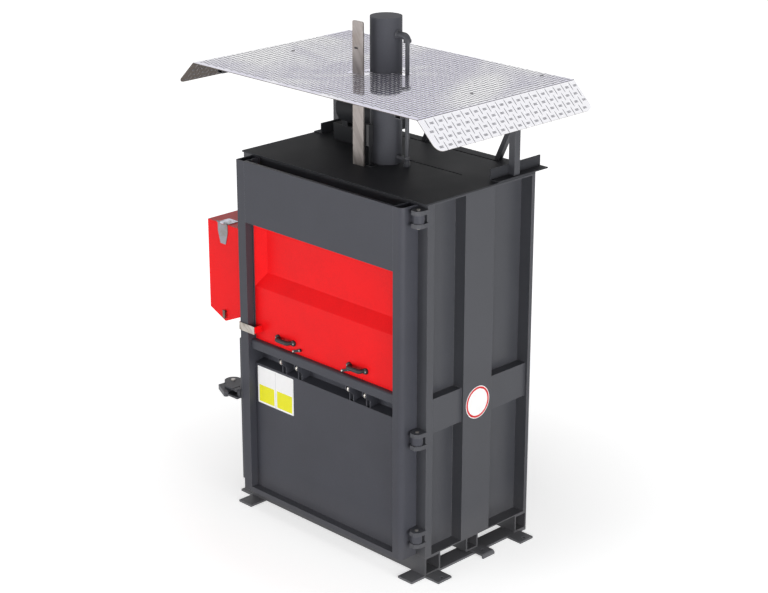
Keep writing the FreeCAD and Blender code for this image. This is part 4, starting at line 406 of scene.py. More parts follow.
DOOR_MIDDLE, GUIDE_GAP, GUIDE_PLATE = 0.0045, 0.023, 0.004
SHEAVE_WIDE, SHEAVE_EDGE, PIN_RADIUS = 0.010, 0.002, 0.004
panel_low, panel_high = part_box("lower_panel")
guides = [(DOOR_MIDDLE + spot - GUIDE_GAP / 2, DOOR_MIDDLE + spot + GUIDE_GAP / 2)
          for spot in (-0.315, -0.192, 0.199, 0.321)]
low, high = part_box("strap_rollers")
sheave = (high.z - low.z) / 2
start = (GUIDE_GAP - SHEAVE_WIDE) / 2
end = start + SHEAVE_WIDE
outline = [(PIN_RADIUS, 0.0), (PIN_RADIUS, start),
           (sheave - SHEAVE_EDGE, start), (sheave, start + SHEAVE_EDGE),
           (sheave, end - SHEAVE_EDGE), (sheave - SHEAVE_EDGE, end),
           (PIN_RADIUS, end), (PIN_RADIUS, GUIDE_GAP)]
shape = bmesh.new()
for left, right in guides:
    turn(shape, outline, (left, (low.y + high.y) / 2, (low.z + high.z) / 2), "X")
rollers = piece("strap_rollers_turned", shape, turned_steel, "door")
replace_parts(rollers, "strap_rollers")

POCKET_SHEET, LEDGE_RISE = 0.003, 0.010
guide_low, guide_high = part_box("strap_guides")
back, front_of_back = guide_high.y, guide_high.y - POCKET_SHEET
profile = [(panel_high.y, panel_high.z - POCKET_SHEET),
           (front_of_back, panel_high.z + LEDGE_RISE - POCKET_SHEET),
           (front_of_back, guide_low.z), (back, guide_low.z),
           (back, guide_high.z), (front_of_back, guide_high.z),
           (front_of_back, panel_high.z + LEDGE_RISE), (panel_high.y, panel_high.z)]
plates = [x for left, right in guides for x in (left - GUIDE_PLATE, right + GUIDE_PLATE)]
walls = [panel_low.x] + plates + [panel_high.x]
shape = bmesh.new()
for left, right in zip(walls[0::2], walls[1::2]):
    ends = [[shape.verts.new((x, y, z)) for y, z in profile] for x in (left, right)]
    shape.faces.new(ends[0])
    shape.faces.new(ends[1])
    for i in range(len(profile)):
        shape.faces.new((ends[0][i - 1], ends[0][i], ends[1][i], ends[1][i - 1]))
piece("pocket_sheets", shape, door_enamel, "door")


# ---------------------------------------------------------------------------
# Two plain safety plates in one on the lower sheet: white enamelled aluminium,
# pressed with round corners, with a yellow field low on each half.
# ---------------------------------------------------------------------------
def plate(shape, low, high, corner, steps=6):
    """Adds a thin upright plate with round corners; it is thin along Y."""
    outline = []
    for quarter, (a, b) in enumerate(((high, high), (low, high), (low, low), (high, low))):
        inward = (-1 if a is high else 1, -1 if b is high else 1)
        middle = (a[0] + corner * inward[0], b[2] + corner * inward[1])
        for i in range(steps + 1):
            angle = math.pi / 2 * (quarter + i / steps)
            outline.append((middle[0] + corner * math.cos(angle), middle[1] + corner * math.sin(angle)))
    near, far = [[shape.verts.new((x, y, z)) for x, z in outline] for y in (low[1], high[1])]
    shape.faces.new(near)
    shape.faces.new(far)
    for i in range(len(outline)):
        shape.faces.new((near[i - 1], near[i], far[i], far[i - 1]))


def printed_sheet(name, colour, roughness=0.30, haze_mm=45.45455, grain_mm=1.428571):
    """Printed vinyl or enamelled aluminium: even ink with a little ghosting and a soft film of dust."""
    material, tree = fresh_material(name)
    place = add(tree, "ShaderNodeTexCoord").outputs["Object"]
    haze = add(tree, "ShaderNodeTexNoise", {"Vector": place}, Scale=1000 / haze_mm, Detail=5.0,
               Roughness=0.6)
    amount = add(tree, "ShaderNodeMapRange", {"Value": haze}, From_Min=0.5, From_Max=0.85, To_Max=0.10)
    ink = add(tree, "ShaderNodeMix", {"Factor": amount, 6: linear(colour), 7: linear("#9A968C")},
              data_type="RGBA")
    gloss = add(tree, "ShaderNodeMapRange", {"Value": haze}, From_Min=0.3, From_Max=0.7, To_Min=roughness,
                To_Max=roughness + 0.16)
    grain = add(tree, "ShaderNodeTexNoise", {"Vector": place}, Scale=1000 / grain_mm, Detail=1.0)
    bump = add(tree, "ShaderNodeBump", {"Height": grain}, Strength=0.08, Distance=0.0002)
    skin = add(tree, "ShaderNodeBsdfPrincipled", {"Base Color": ink.outputs[2], "Roughness": gloss,
                                                  "Normal": bump}, IOR=1.46)
    add(tree, "ShaderNodeOutputMaterial", {"Surface": skin})
    return material


LABEL_LEFT, LABEL_RIGHT, LABEL_LOW, LABEL_HIGH, LABEL_THICK = -0.520, -0.237, 0.645, 0.857, 0.0012
FIELD_SIDE, FIELD_LOW, FIELD_HIGH, FIELD_THICK = 0.011, 0.010, 0.106, 0.0003
SCORE_HALF, SCORE_END, SCORE_THICK = 0.0007, 0.002, 0.0002
white_print = printed_sheet("white printed sheet", "#FFFFFF")
yellow_print = printed_sheet("yellow printed sheet", "#F4F000")
label_front = panel_low.y - LABEL_THICK
shape = bmesh.new()
plate(shape, (LABEL_LEFT, label_front, LABEL_LOW), (LABEL_RIGHT, panel_low.y, LABEL_HIGH), 0.004)
piece("safety_plate", shape, white_print, "door")
shape = bmesh.new()
label_middle = (LABEL_LEFT + LABEL_RIGHT) / 2
for left, right in ((LABEL_LEFT, label_middle), (label_middle, LABEL_RIGHT)):
    plate(shape, (left + FIELD_SIDE, label_front - FIELD_THICK, LABEL_LOW + FIELD_LOW),
          (right - FIELD_SIDE, label_front, LABEL_LOW + FIELD_HIGH), 0.003)
piece("safety_plate_fields", shape, yellow_print, "door")
shape = bmesh.new()
plate(shape, (label_middle - SCORE_HALF, label_front - SCORE_THICK, LABEL_LOW + SCORE_END),
      (label_middle + SCORE_HALF, label_front, LABEL_HIGH - SCORE_END), 0.0004)
piece("safety_plate_score", shape, printed_sheet("grey printed line", "#B8B8BC"), "door")

# ---------------------------------------------------------------------------
# A plain round sign, stuck on the right-hand channel above the belt's middle:
# a disc of white vinyl with a red ring printed a little inside its edge.
# ---------------------------------------------------------------------------
SIGN_Y, SIGN_Z, SIGN_RADIUS, SIGN_THICK = 0.0115, 0.870, 0.088, 0.0006
RING_IN, RING_WIDE, RING_THICK, RING_SIDES = 0.004, 0.011, 0.0003, 64
channel_face = channel_high.x
shape = bmesh.new()
turn(shape, [(SIGN_RADIUS - SIGN_THICK / 2, 0.0), (SIGN_RADIUS, SIGN_THICK / 2),
             (SIGN_RADIUS - SIGN_THICK / 2, SIGN_THICK)], (channel_face, SIGN_Y, SIGN_Z), "X",
     sides=RING_SIDES)
piece("round_sign", shape, white_print, "body")
outside = SIGN_RADIUS - RING_IN
inside = outside - RING_WIDE
shape = bmesh.new()
rings = []
for radius, rise in ((inside, 0), (inside, RING_THICK), (outside, RING_THICK), (outside, 0)):
    turns = [math.tau * i / RING_SIDES for i in range(RING_SIDES)]
    rings.append([shape.verts.new((channel_face + SIGN_THICK + rise, SIGN_Y + radius * math.cos(t),
                                   SIGN_Z + radius * math.sin(t))) for t in turns])
for first, second in zip(rings, rings[1:] + rings[:1]):
    for i in range(RING_SIDES):
        shape.faces.new((first[i - 1], first[i], second[i], second[i - 1]))
piece("round_sign_rim", shape, printed_sheet("red printed ring", "#D4141C"), "body")

# ---------------------------------------------------------------------------
# The gate: one folded sheet, pressed back in its middle, in red enamel, that
# slides up behind the header.  Two bridge handles of black plastic, screwed on
# through round feet, lift it; a bare steel band wraps the closing upright.
# ---------------------------------------------------------------------------
red_enamel = machine_enamel("red enamel", "#FA151B", roughness=0.34, dust=0.0, rub=0.12, shine=0.14)
finish_nodes(["gate_panel"], red_enamel)


def moulded_plastic(name, colour, roughness=0.45, grain_mm=0.8, cloud_mm=55.55556):
    """Moulded plastic: an even colour with a fine spark-eroded grain."""
    material, tree = fresh_material(name)
    place = add(tree, "ShaderNodeTexCoord").outputs["Object"]
    grain = add(tree, "ShaderNodeTexNoise", {"Vector": place}, Scale=1000 / grain_mm, Detail=2.0)
    cloud = add(tree, "ShaderNodeTexNoise", {"Vector": place}, Scale=1000 / cloud_mm, Detail=4.0)
    gloss = add(tree, "ShaderNodeMapRange", {"Value": cloud}, From_Min=0.3, From_Max=0.7,
                To_Min=roughness - 0.06, To_Max=roughness + 0.08)
    tone = add(tree, "ShaderNodeMapRange", {"Value": cloud}, From_Min=0.3, From_Max=0.7, To_Min=0.88,
               To_Max=1.12)
    tinted = add(tree, "ShaderNodeMix", {"Factor": tone, 6: BLACK, 7: linear(colour)}, data_type="RGBA",
                 clamp_factor=False)
    bump = add(tree, "ShaderNodeBump", {"Height": grain}, Strength=0.2, Distance=0.0002)
    skin = add(tree, "ShaderNodeBsdfPrincipled", {"Base Color": tinted.outputs[2], "Roughness": gloss,
                                                  "Normal": bump}, IOR=1.49)
    add(tree, "ShaderNodeOutputMaterial", {"Surface": skin})
    return material


def bent(points, bend, steps=8):
    """The points of a path whose corners are rounded to a bend radius."""
    path = [Vector(points[0])]
    for before, corner, after in zip(points, points[1:], points[2:]):
        corner = Vector(corner)
        back, ahead = (Vector(before) - corner).normalized(), (Vector(after) - corner).normalized()
        half_turn = (math.pi - back.angle(ahead)) / 2
        reach = bend * math.tan(half_turn)
        middle = corner + (back + ahead).normalized() * (bend / math.cos(half_turn))
        start, end = [(corner + way * reach - middle).normalized() for way in (back, ahead)]
        path += [middle + start.slerp(end, i / steps).normalized() * bend for i in range(steps + 1)]
    return path + [Vector(points[-1])]


def round_bar(shape, path, radii, square_to, sides=20):
    """Adds a round bar along a flat path: one radius for each point, square_to points out of its plane."""
    rings = []
    across = Vector(square_to)
    turns = [math.tau * i / sides for i in range(sides)]
    for number, (point, radius) in enumerate(zip(path, radii)):
        ahead = (path[min(number + 1, len(path) - 1)] - path[max(number - 1, 0)]).normalized()
        third = ahead.cross(across)
        rings.append([shape.verts.new(point + (across * math.cos(t) + third * math.sin(t)) * radius)
                      for t in turns])
    for first, second in zip(rings, rings[1:]):
        for i in range(sides):
            shape.faces.new((first[i - 1], first[i], second[i], second[i - 1]))
    shape.faces.new(rings[0])
    shape.faces.new(rings[-1])


HANDLE_HALF, HANDLE_BAR, HANDLE_BEND = 0.060, 0.0118, 0.016
# The foot's radius and depth, and the screw's place out from the foot's middle.
FOOT_RADIUS, FOOT_DEEP, SCREW_OUT = 0.0160, 0.013, 0.007
# The legs slant inwards, from near the foot's middle to this far along the bar.
LEG_START, LEG_END = 0.006, 0.020
low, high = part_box("gate_handles")
level, crest = (low.z + high.z) / 2, low.y + HANDLE_BAR
foot = [(FOOT_RADIUS, 0.0), (FOOT_RADIUS, 0.004 - FOOT_DEEP), (FOOT_RADIUS - 0.0015, 0.001 - FOOT_DEEP),
        (FOOT_RADIUS - 0.004, -FOOT_DEEP)]
screw = [(0.0042, 0.001), (0.0042, -0.0010), (0.0030, -0.0022)]
shape = bmesh.new()
screws = bmesh.new()
for spot in (-0.297, 0.246):
    left, right = DOOR_MIDDLE + spot - HANDLE_HALF, DOOR_MIDDLE + spot + HANDLE_HALF
    route = bent([(left + LEG_START, high.y - 0.002, level), (left + LEG_END, crest, level),
                  (right - LEG_END, crest, level), (right - LEG_START, high.y - 0.002, level)], HANDLE_BEND)
    swell = [HANDLE_BAR * (0.92 + 0.14 * math.sin(math.pi * i / (len(route) - 1)))
             for i in range(len(route))]
    round_bar(shape, route, swell, (0, 0, 1))
    for leg, outward in ((left, -1), (right, 1)):
        turn(shape, foot, (leg, high.y, level), "Y", sides=28)
        turn(screws, screw, (leg + outward * SCREW_OUT, high.y - FOOT_DEEP, level), "Y", sides=16)
handle_plastic = moulded_plastic("black handle plastic", "#17171A", roughness=0.55)
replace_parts(piece("gate_handles_dipped", shape, handle_plastic, "gate"), "gate_handles")
finish_nodes(["gate_band"], bare_steel("bare band steel", "#B3ADA6", "X"))
screw_steel = bare_steel("screw steel", "#A8A8AA", "Z")
piece("handle_screws", screws, screw_steel, "gate")

# ---------------------------------------------------------------------------
# The two gate levers: flat steel arms in black enamel on round bosses, each
# with a hexagon pin head and a bare ground tip that catches the light.
# ---------------------------------------------------------------------------
LEVER_TILT, LEVER_LONG, LEVER_UP = math.radians(21), 0.055, 1.037
TIP_PROUD = 0.0012
finish_nodes(["lever_left", "lever_right"], machine_enamel("black lever enamel", "#2A2A2E"))
arm = Vector((-math.cos(LEVER_TILT), 0, -math.sin(LEVER_TILT)))
tip_outline = [(0.0044, 0.0), (0.0054, 0.0012), (0.0054, 0.0062), (0.0044, 0.0076)]
head_outline = [(0.0052, 0.0), (0.0052, -0.0012), (0.0038, -0.0026)]
for name, spot in (("lever_left", -0.1855), ("lever_right", 0.1855)):
    pivot = Vector((DOOR_MIDDLE + spot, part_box(name)[0].y, LEVER_UP))
    shape = bmesh.new()
    turn(shape, tip_outline, pivot + arm * LEVER_LONG + Vector((0, TIP_PROUD, 0)), "Y", sides=24)
    piece(name + "_tip", shape, turned_steel, name + "_body")
    shape = bmesh.new()
    turn(shape, head_outline, pivot, "Y", sides=6)
    piece(name + "_pin_head", shape, screw_steel, name + "_body")

# ---------------------------------------------------------------------------
# The press: a steel cylinder through the top plate, with a square flange under
# the plate, a chromed rod and a platen.  The cylinder's enamel is flatter than
# the body's; a small plastic switch beside it reads the strap, its plastic
# painted near black as painted shade between strap and cylinder.
# ---------------------------------------------------------------------------
cylinder_enamel = machine_enamel("dark grey cylinder enamel", "#4C4D53", roughness=0.55, shine=0.16)
finish_nodes(["cylinder_tube", "cylinder_mount", "platen"], cylinder_enamel)
finish_nodes(["piston_rod"], bare_steel("chromed rod", "#C9CACC", "Z", roughness=0.12, stain="#B8B8BA"))
# The switch is painted near black: painted shade in the gap beside the strap.
finish_nodes(["limit_switch"], moulded_plastic("switch plastic painted shade", "#1B1C1F"))


# ---------------------------------------------------------------------------
# The position strap: bare hot-rolled flat with ground round corners, a slot
# near its top that holds a rubber stop, and slanting grinder marks.  It stands
# on the platen and rises and falls with it.
# ---------------------------------------------------------------------------
def ground_flat(name, colour, stain, slant, smear_mm=166.6667):
    """Bare flat bar: warm grey scale, slanting grinder strokes, rust-brown smears and fine scratches."""
    material, tree = fresh_material(name)
    place = add(tree, "ShaderNodeTexCoord").outputs["Object"]
    # The strokes are about 28 mm wide and 300 mm long, the scratches 1.1 mm wide and 30 mm long.
    turned = add(tree, "ShaderNodeMapping", {"Vector": place}, vector_type="TEXTURE",
                 Rotation=(0, math.radians(slant), 0), Scale=(0.028, 0.028, 0.30))
    strokes = add(tree, "ShaderNodeTexNoise", {"Vector": turned}, Scale=1.0, Detail=4.0, Roughness=0.55,
                  Distortion=0.3)
    light = add(tree, "ShaderNodeMapRange", {"Value": strokes}, From_Min=0.40, From_Max=0.62)
    base = add(tree, "ShaderNodeMix", {"Factor": light, 6: linear(stain), 7: linear(colour)},
               data_type="RGBA")
    smear = add(tree, "ShaderNodeTexNoise", {"Vector": place}, Scale=1000 / smear_mm, Detail=6.0,
                Roughness=0.7)
    brown = add(tree, "ShaderNodeMapRange", {"Value": smear}, From_Min=0.52, From_Max=0.74, To_Max=0.55)
    marked = add(tree, "ShaderNodeMix", {"Factor": brown, 6: base.outputs[2], 7: linear("#6C5F57")},
                 data_type="RGBA")
    fine = add(tree, "ShaderNodeMapping", {"Vector": place}, vector_type="TEXTURE",
               Rotation=(0, math.radians(slant + 30), 0), Scale=(0.0011, 0.0011, 0.03))
    scratches = add(tree, "ShaderNodeTexNoise", {"Vector": fine}, Scale=1.0, Detail=2.0)
    gloss = add(tree, "ShaderNodeMapRange", {"Value": strokes}, From_Min=0.3, From_Max=0.7, To_Min=0.30,
                To_Max=0.52)
    bump = add(tree, "ShaderNodeBump", {"Height": scratches}, Strength=0.15, Distance=0.0003)
    skin = add(tree, "ShaderNodeBsdfPrincipled", {"Base Color": marked.outputs[2], "Roughness": gloss,
                                                  "Normal": bump}, Metallic=0.8)
    add(tree, "ShaderNodeOutputMaterial", {"Surface": skin})
    return material


def outlined(points, radii, steps=6):
    """The points of a closed outline, given by its (x, z) corners, each rounded to its radius."""
    path = []
    for number, (point, radius) in enumerate(zip(points, radii)):
        corner = Vector(point)
        back = (Vector(points[number - 1]) - corner).normalized()
        ahead = (Vector(points[(number + 1) % len(points)]) - corner).normalized()
        start, end = corner + back * radius, corner + ahead * radius
        path += [start.lerp(corner, t).lerp(corner.lerp(end, t), t)
                 for t in [i / steps for i in range(steps + 1)]]
    return path


def oblong(left, right, low, high):
    """The four corners of an oblong, from its low left one round to its high left one."""
    return [(left, low), (right, low), (right, high), (left, high)]


def holed_flat(name, outlines, near, far, material, body):
    """A flat with holes: a filled outline curve given its thickness along Y."""
    curve = bpy.data.curves.new(name, "CURVE")
    curve.dimensions, curve.fill_mode, curve.extrude = "2D", "BOTH", (far - near) / 2
    for path in outlines:
        spline = curve.splines.new("POLY")
        spline.points.add(len(path) - 1)
        spline.use_cyclic_u = True
        for point, spot in zip(spline.points, path):
            point.co = (spot.x, spot.y, 0, 1)
    drawn = bpy.data.objects.new(name + "_curve", curve)
    shape = bmesh.new()
    shape.from_mesh(bpy.data.meshes.new_from_object(drawn))
    bpy.data.objects.remove(drawn)
    bmesh.ops.remove_doubles(shape, verts=shape.verts, dist=0.00001)
    upright = Matrix(((1, 0, 0, 0), (0, 0, -1, (near + far) / 2), (0, 1, 0, 0), (0, 0, 0, 1)))
    bmesh.ops.transform(shape, matrix=upright, verts=shape.verts)
    return piece(name, shape, material, body)


SLOT_HIGH, SLOT_WIDE, SLOT_DOWN, SLOT_LEFT = 0.010, 0.026, 0.139, 0.012
low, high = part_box("position_strap")
strap_corners = oblong(low.x, high.x, low.z, high.z)
slot_x, slot_z = (low.x + high.x) / 2 - SLOT_LEFT, high.z - SLOT_DOWN
slot_corners = oblong(slot_x - SLOT_WIDE / 2, slot_x + SLOT_WIDE / 2, slot_z - SLOT_HIGH / 2,
                      slot_z + SLOT_HIGH / 2)
strap_steel = ground_flat("bare strap steel", "#8F8986", "#7B7572", -28)
# The strap is rounded at its top; its foot is only broken at the corners.
STRAP_RADII, SLOT_RADII = (0.001, 0.001, 0.012, 0.012), (0.005, 0.005, 0.005, 0.005)
strap_paths = [outlined(strap_corners, STRAP_RADII), outlined(slot_corners, SLOT_RADII)]
strap = holed_flat("position_strap_ground", strap_paths, low.y, high.y, strap_steel, "press")
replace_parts(strap, "position_strap")
shape = bmesh.new()
STOP_LOOSE = 0.001
plate(shape, (slot_corners[0][0] + STOP_LOOSE, low.y + 0.002, slot_corners[0][1] + STOP_LOOSE),
      (slot_corners[2][0] - STOP_LOOSE, high.y - 0.001, slot_corners[2][1] - STOP_LOOSE), 0.004)
stop_rubber = moulded_plastic("black stop rubber", "#141416", roughness=0.6)
piece("strap_stop", shape, stop_rubber, "press")

# ---------------------------------------------------------------------------
# The pressure line: a forged elbow screwed into the cylinder near its top, a
# straight steel pipe down beside it, a clamp bar, and a hexagon union on the
# top plate.  Its dark grey enamel is glossier than the cylinder's.
# ---------------------------------------------------------------------------
PIPE_X, PIPE_RADIUS = 0.151, 0.011
ELBOW_RADIUS, ELBOW_BEND, ELBOW_Z, ELBOW_FOOT = 0.0185, 0.024, 2.685, 2.655
CLAMP_LOW, CLAMP_HIGH, CLAMP_HALF = 0.034, 0.050, 0.010
line_enamel = machine_enamel("dark grey line enamel", "#4A4B50", roughness=0.38)
low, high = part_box("pressure_line")
line_y = (low.y + high.y) / 2
cylinder_low, cylinder_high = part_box("cylinder_tube")
wall_x = (cylinder_high.y - cylinder_low.y) / 2
shape = bmesh.new()
elbow_route = bent([(wall_x - 0.006, line_y, ELBOW_Z), (PIPE_X, line_y, ELBOW_Z),
                    (PIPE_X, line_y, ELBOW_FOOT)], ELBOW_BEND)
round_bar(shape, elbow_route, [ELBOW_RADIUS] * len(elbow_route), (0, 1, 0), sides=28)
collar_outline = [(0.0212, 0.0), (0.0220, 0.002), (0.0220, 0.007), (0.0190, 0.009)]
turn(shape, collar_outline, (wall_x - 0.003, line_y, ELBOW_Z), "X", sides=28)
nut_outline = [(0.0190, 0.0), (0.0208, 0.002), (0.0208, 0.014), (0.0180, 0.017)]
turn(shape, nut_outline, (PIPE_X, line_y, ELBOW_FOOT), "Z", sides=28)
turn(shape, [(PIPE_RADIUS, low.z + 0.001), (PIPE_RADIUS, ELBOW_FOOT + 0.004)], (PIPE_X, line_y, 0), "Z",
     sides=24)
union_outline = [(0.0175, 0.0), (0.0185, 0.002), (0.0185, 0.017), (0.0165, 0.019)]
turn(shape, union_outline, (PIPE_X, line_y, low.z), "Z", sides=6)
cone_outline = [(0.0150, 0.019), (0.0150, 0.027), (0.0115, 0.030)]
turn(shape, cone_outline, (PIPE_X, line_y, low.z), "Z", sides=24)
plate(shape, (wall_x - 0.002, line_y - CLAMP_HALF, low.z + CLAMP_LOW),
      (PIPE_X - 0.006, line_y + CLAMP_HALF, low.z + CLAMP_HIGH), 0.003)
clamp_outline = [(0.0145, CLAMP_LOW - 0.001), (0.0158, CLAMP_LOW + 0.001), (0.0158, CLAMP_HIGH - 0.001),
                 (0.0145, CLAMP_HIGH + 0.001)]
turn(shape, clamp_outline, (PIPE_X, line_y, low.z), "Z", sides=24)
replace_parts(piece("pressure_line_piped", shape, line_enamel, "body"), "pressure_line")

# ---------------------------------------------------------------------------
# The latch at the door's free edge: a steel claw between two fixed plates, in
# the body's enamel, that turns on a bare turned pin.
# ---------------------------------------------------------------------------
finish_nodes(["latch_claw"], body_enamel)

# ---------------------------------------------------------------------------
# The power pack behind the cylinder: an oil tank, an electric motor that stands
# on it, and a pump on the motor's end.  All are painted near black: painted
# shade, for the roof's shade over them.
# ---------------------------------------------------------------------------
# Near black enamel as painted shade under the roof.
motor_enamel_painted_shade = machine_enamel("near-black motor enamel painted shade", "#252629", roughness=0.5, shine=0.14)
finish_nodes(["power_pack_tank", "power_pack_motor", "power_pack_pump"], motor_enamel_painted_shade)

# ---------------------------------------------------------------------------
# The roof: one sheet of bright rolled tread plate, folded down at both sides and
# bolted to square tube rails on two posts, with leaning braces behind.  It
# mirrors the room.  Its flaps are painted white as painted reflection; pale
# clouds on the level part are partly mottling of the sheet and partly painted
# sheen, with an oval of painted glare; a dark band of painted shade lies in
# each fold, and the underside is painted dark as painted shade.
# ---------------------------------------------------------------------------
finish_nodes(["roof_posts", "roof_rails", "roof_braces"], body_enamel)

FOLD, FLAP_OUT, FLAP_DOWN, CREASE_HALF = 0.805, 0.133, 0.128, 0.0022
roof_low, roof_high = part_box("roof_sheet")
# A real sheet of this size is never quite flat, so what it mirrors is drawn up short.  The mesh is
# flat, as the CAD is; this small lean of the shading on the level part shortens the images in its place.
DISH = (0.107, -0.107, 0.0)
# An oval of painted glare, where the level part is painted whitest: its place, turn and half sizes.
GLARE_PLACE, GLARE_TURN, GLARE_HALVES = (0.613, 0.049, 2.49), math.radians(118), (0.676, 0.210, 1.0)


def past_fold(tree, place):
    """1 on the flaps, 0 on the level part, and how far out a point lies."""
    axes = add(tree, "ShaderNodeSeparateXYZ", {0: place})
    size = add(tree, "ShaderNodeMath", {0: axes.outputs["X"]}, operation="ABSOLUTE")
    return add(tree, "ShaderNodeMapRange", {"Value": size}, From_Min=FOLD - 0.001,
               From_Max=FOLD + 0.001), size


def tread_sheet(name, flat_colour, painted_white, underside_shade_colour, cloud_mm=588.2353, handled_mm=90.90909):
    """Bright rolled sheet: a mirror with pale clouds, partly mottling and partly painted sheen, an oval of
    painted glare, white flaps as painted reflection, and painted shade in the folds and beneath.
    """
    material, tree = fresh_material(name)
    place = add(tree, "ShaderNodeTexCoord").outputs["Object"]
    on_flap, size = past_fold(tree, place)
    cloud = add(tree, "ShaderNodeTexNoise", {"Vector": place}, Scale=1000 / cloud_mm, Detail=3.0,
                Roughness=0.5, Distortion=0.6)
    bright = add(tree, "ShaderNodeMapRange", {"Value": cloud}, From_Min=0.46, From_Max=0.62)
    # The oval of painted glare: the level part is painted white inside it.
    spread = add(tree, "ShaderNodeMapping", {"Vector": place}, vector_type="TEXTURE", Location=GLARE_PLACE,
                 Rotation=(0, 0, GLARE_TURN), Scale=GLARE_HALVES)
    glare_falloff = add(tree, "ShaderNodeTexGradient", {"Vector": spread}, gradient_type="QUADRATIC_SPHERE")
    painted_glare = add(tree, "ShaderNodeMapRange", {"Value": glare_falloff.outputs["Fac"]}, From_Max=0.35)
    # The level part is painted whiter in clouds, partly the sheet's mottling and partly painted sheen, and in
    # the oval of painted glare; the flaps are painted white as painted reflection.
    glare_sheen_and_mottle = add(tree, "ShaderNodeMath", {0: painted_glare, 1: bright}, operation="MAXIMUM")
    flat = add(tree, "ShaderNodeMix", {"Factor": glare_sheen_and_mottle, 6: linear(flat_colour), 7: linear(painted_white)},
               data_type="RGBA")
    upper = add(tree, "ShaderNodeMix", {"Factor": on_flap, 6: flat.outputs[2], 7: linear(painted_white)},
                data_type="RGBA")
    # A dark band along each fold: painted shade in the crease.
    fold_shade = add(tree, "ShaderNodeMath", {0: size, 1: FOLD, 2: CREASE_HALF}, operation="COMPARE")
    fold_shaded = add(tree, "ShaderNodeMix", {"Factor": fold_shade, 6: upper.outputs[2], 7: linear("#6F6D76")},
                  data_type="RGBA")
    normal = add(tree, "ShaderNodeNewGeometry").outputs["Normal"]
    facing = add(tree, "ShaderNodeSeparateXYZ", {0: normal})
    beneath = add(tree, "ShaderNodeMath", {0: facing.outputs["Z"], 1: 0.30}, operation="LESS_THAN")
    level = add(tree, "ShaderNodeMath", {0: facing.outputs["Z"], 1: 0.95}, operation="GREATER_THAN")
    dished = add(tree, "ShaderNodeVectorMath", {0: DISH, "Scale": level}, operation="SCALE")
    leaning = add(tree, "ShaderNodeVectorMath", {0: normal, 1: dished}, operation="ADD")
    lie = add(tree, "ShaderNodeVectorMath", {0: leaning}, operation="NORMALIZE")
    # The underside is painted dark grey-brown: painted shade beneath the sheet.
    base = add(tree, "ShaderNodeMix", {"Factor": beneath, 6: fold_shaded.outputs[2], 7: linear(underside_shade_colour)},
               data_type="RGBA")
    handled = add(tree, "ShaderNodeTexNoise", {"Vector": place}, Scale=1000 / handled_mm, Detail=5.0,
                  Roughness=0.6)
    gloss = add(tree, "ShaderNodeMapRange", {"Value": handled}, From_Min=0.3, From_Max=0.7, To_Min=0.03,
                To_Max=0.12)
    dull = add(tree, "ShaderNodeMath", {0: beneath, 1: gloss}, operation="MAXIMUM")
    skin = add(tree, "ShaderNodeBsdfPrincipled", {"Base Color": base.outputs[2], "Roughness": dull,
                                                  "Normal": lie}, Metallic=0.92)
    add(tree, "ShaderNodeOutputMaterial", {"Surface": skin})
    return material


finish_nodes(["roof_sheet"], tread_sheet("bright tread plate", "#DEDCE8", "#FFFFFF", "#7A736E"))


# ---------------------------------------------------------------------------
# The raised bars rolled into the tread plate.  On the level part they stand in
# threes, turned a quarter from one group to the next.  On the flaps threes and
# single long bars take turns.  A shallower print of them shows underneath.
# ---------------------------------------------------------------------------
def bar(shape, rise, centre, long, wide, high, axis):
    """Adds one raised bar, a pointed oval with sloping sides; rise marks the height on its points, 0 to 1."""
    outline = [(-0.5, 0), (-0.33, 0.42), (0, 0.5), (0.33, 0.42), (0.5, 0), (0.33, -0.42), (0, -0.5),
               (-0.33, -0.42)]
    rings = []
    for level, part_of in ((0.0, 1.0), (0.75, 0.62), (1.0, 0.30)):
        ring = []
        for a, b in outline:
            a, b = a * long * (part_of * 0.5 + 0.5), b * wide * part_of
            spot = (a, b) if axis == "X" else (b, a)
            vertex = shape.verts.new((centre[0] + spot[0], centre[1] + spot[1], level * high))
            vertex[rise] = level
            ring.append(vertex)
        rings.append(ring)
    for first, second in zip(rings, rings[1:]):
        for i in range(len(outline)):
            shape.faces.new((first[i - 1], first[i], second[i], second[i - 1]))
    shape.faces.new(rings[-1])


def bar_group(name, bars, high):
    """A pattern object with the bars of one group."""
    shape = bmesh.new()
    rise = shape.verts.layers.float.new("rise")
    for centre, long, wide, axis in bars:
        bar(shape, rise, centre, long, wide, high, axis)
    bmesh.ops.recalc_face_normals(shape, faces=shape.faces)
    mesh = bpy.data.meshes.new(name)
    shape.to_mesh(mesh)
    shape.free()
    mesh.polygons.foreach_set("use_smooth", [True] * len(mesh.polygons))
    item = bpy.data.objects.new(name, mesh)
    bpy.context.scene.collection.objects.link(item)
    return item


def box_distance(tree, place, centre, half, corner):
    """How far a point lies outside a box that is smaller by its corner radius all round, 0 inside."""
    off = add(tree, "ShaderNodeVectorMath", {0: place, 1: (centre[0], centre[1], 0)}, operation="SUBTRACT")
    size = add(tree, "ShaderNodeVectorMath", {0: off}, operation="ABSOLUTE")
    past = add(tree, "ShaderNodeVectorMath", {0: size, 1: (half[0] - corner, half[1] - corner, 1.0)},
               operation="SUBTRACT")
    outside = add(tree, "ShaderNodeVectorMath", {0: past}, operation="MAXIMUM")
    return add(tree, "ShaderNodeVectorMath", {0: outside}, operation="LENGTH").outputs["Value"]


# Groups stand PITCH apart each way, and FLAP_PITCH apart down a flap, the first FLAP_FIRST below the fold.
PITCH, FLAP_PITCH, FLAP_FIRST, FIRST_ROW = 0.030, 0.0431, 0.0323, -0.5658
FLAT_COLUMNS, COLUMNS, ROWS = 26, 61, 37
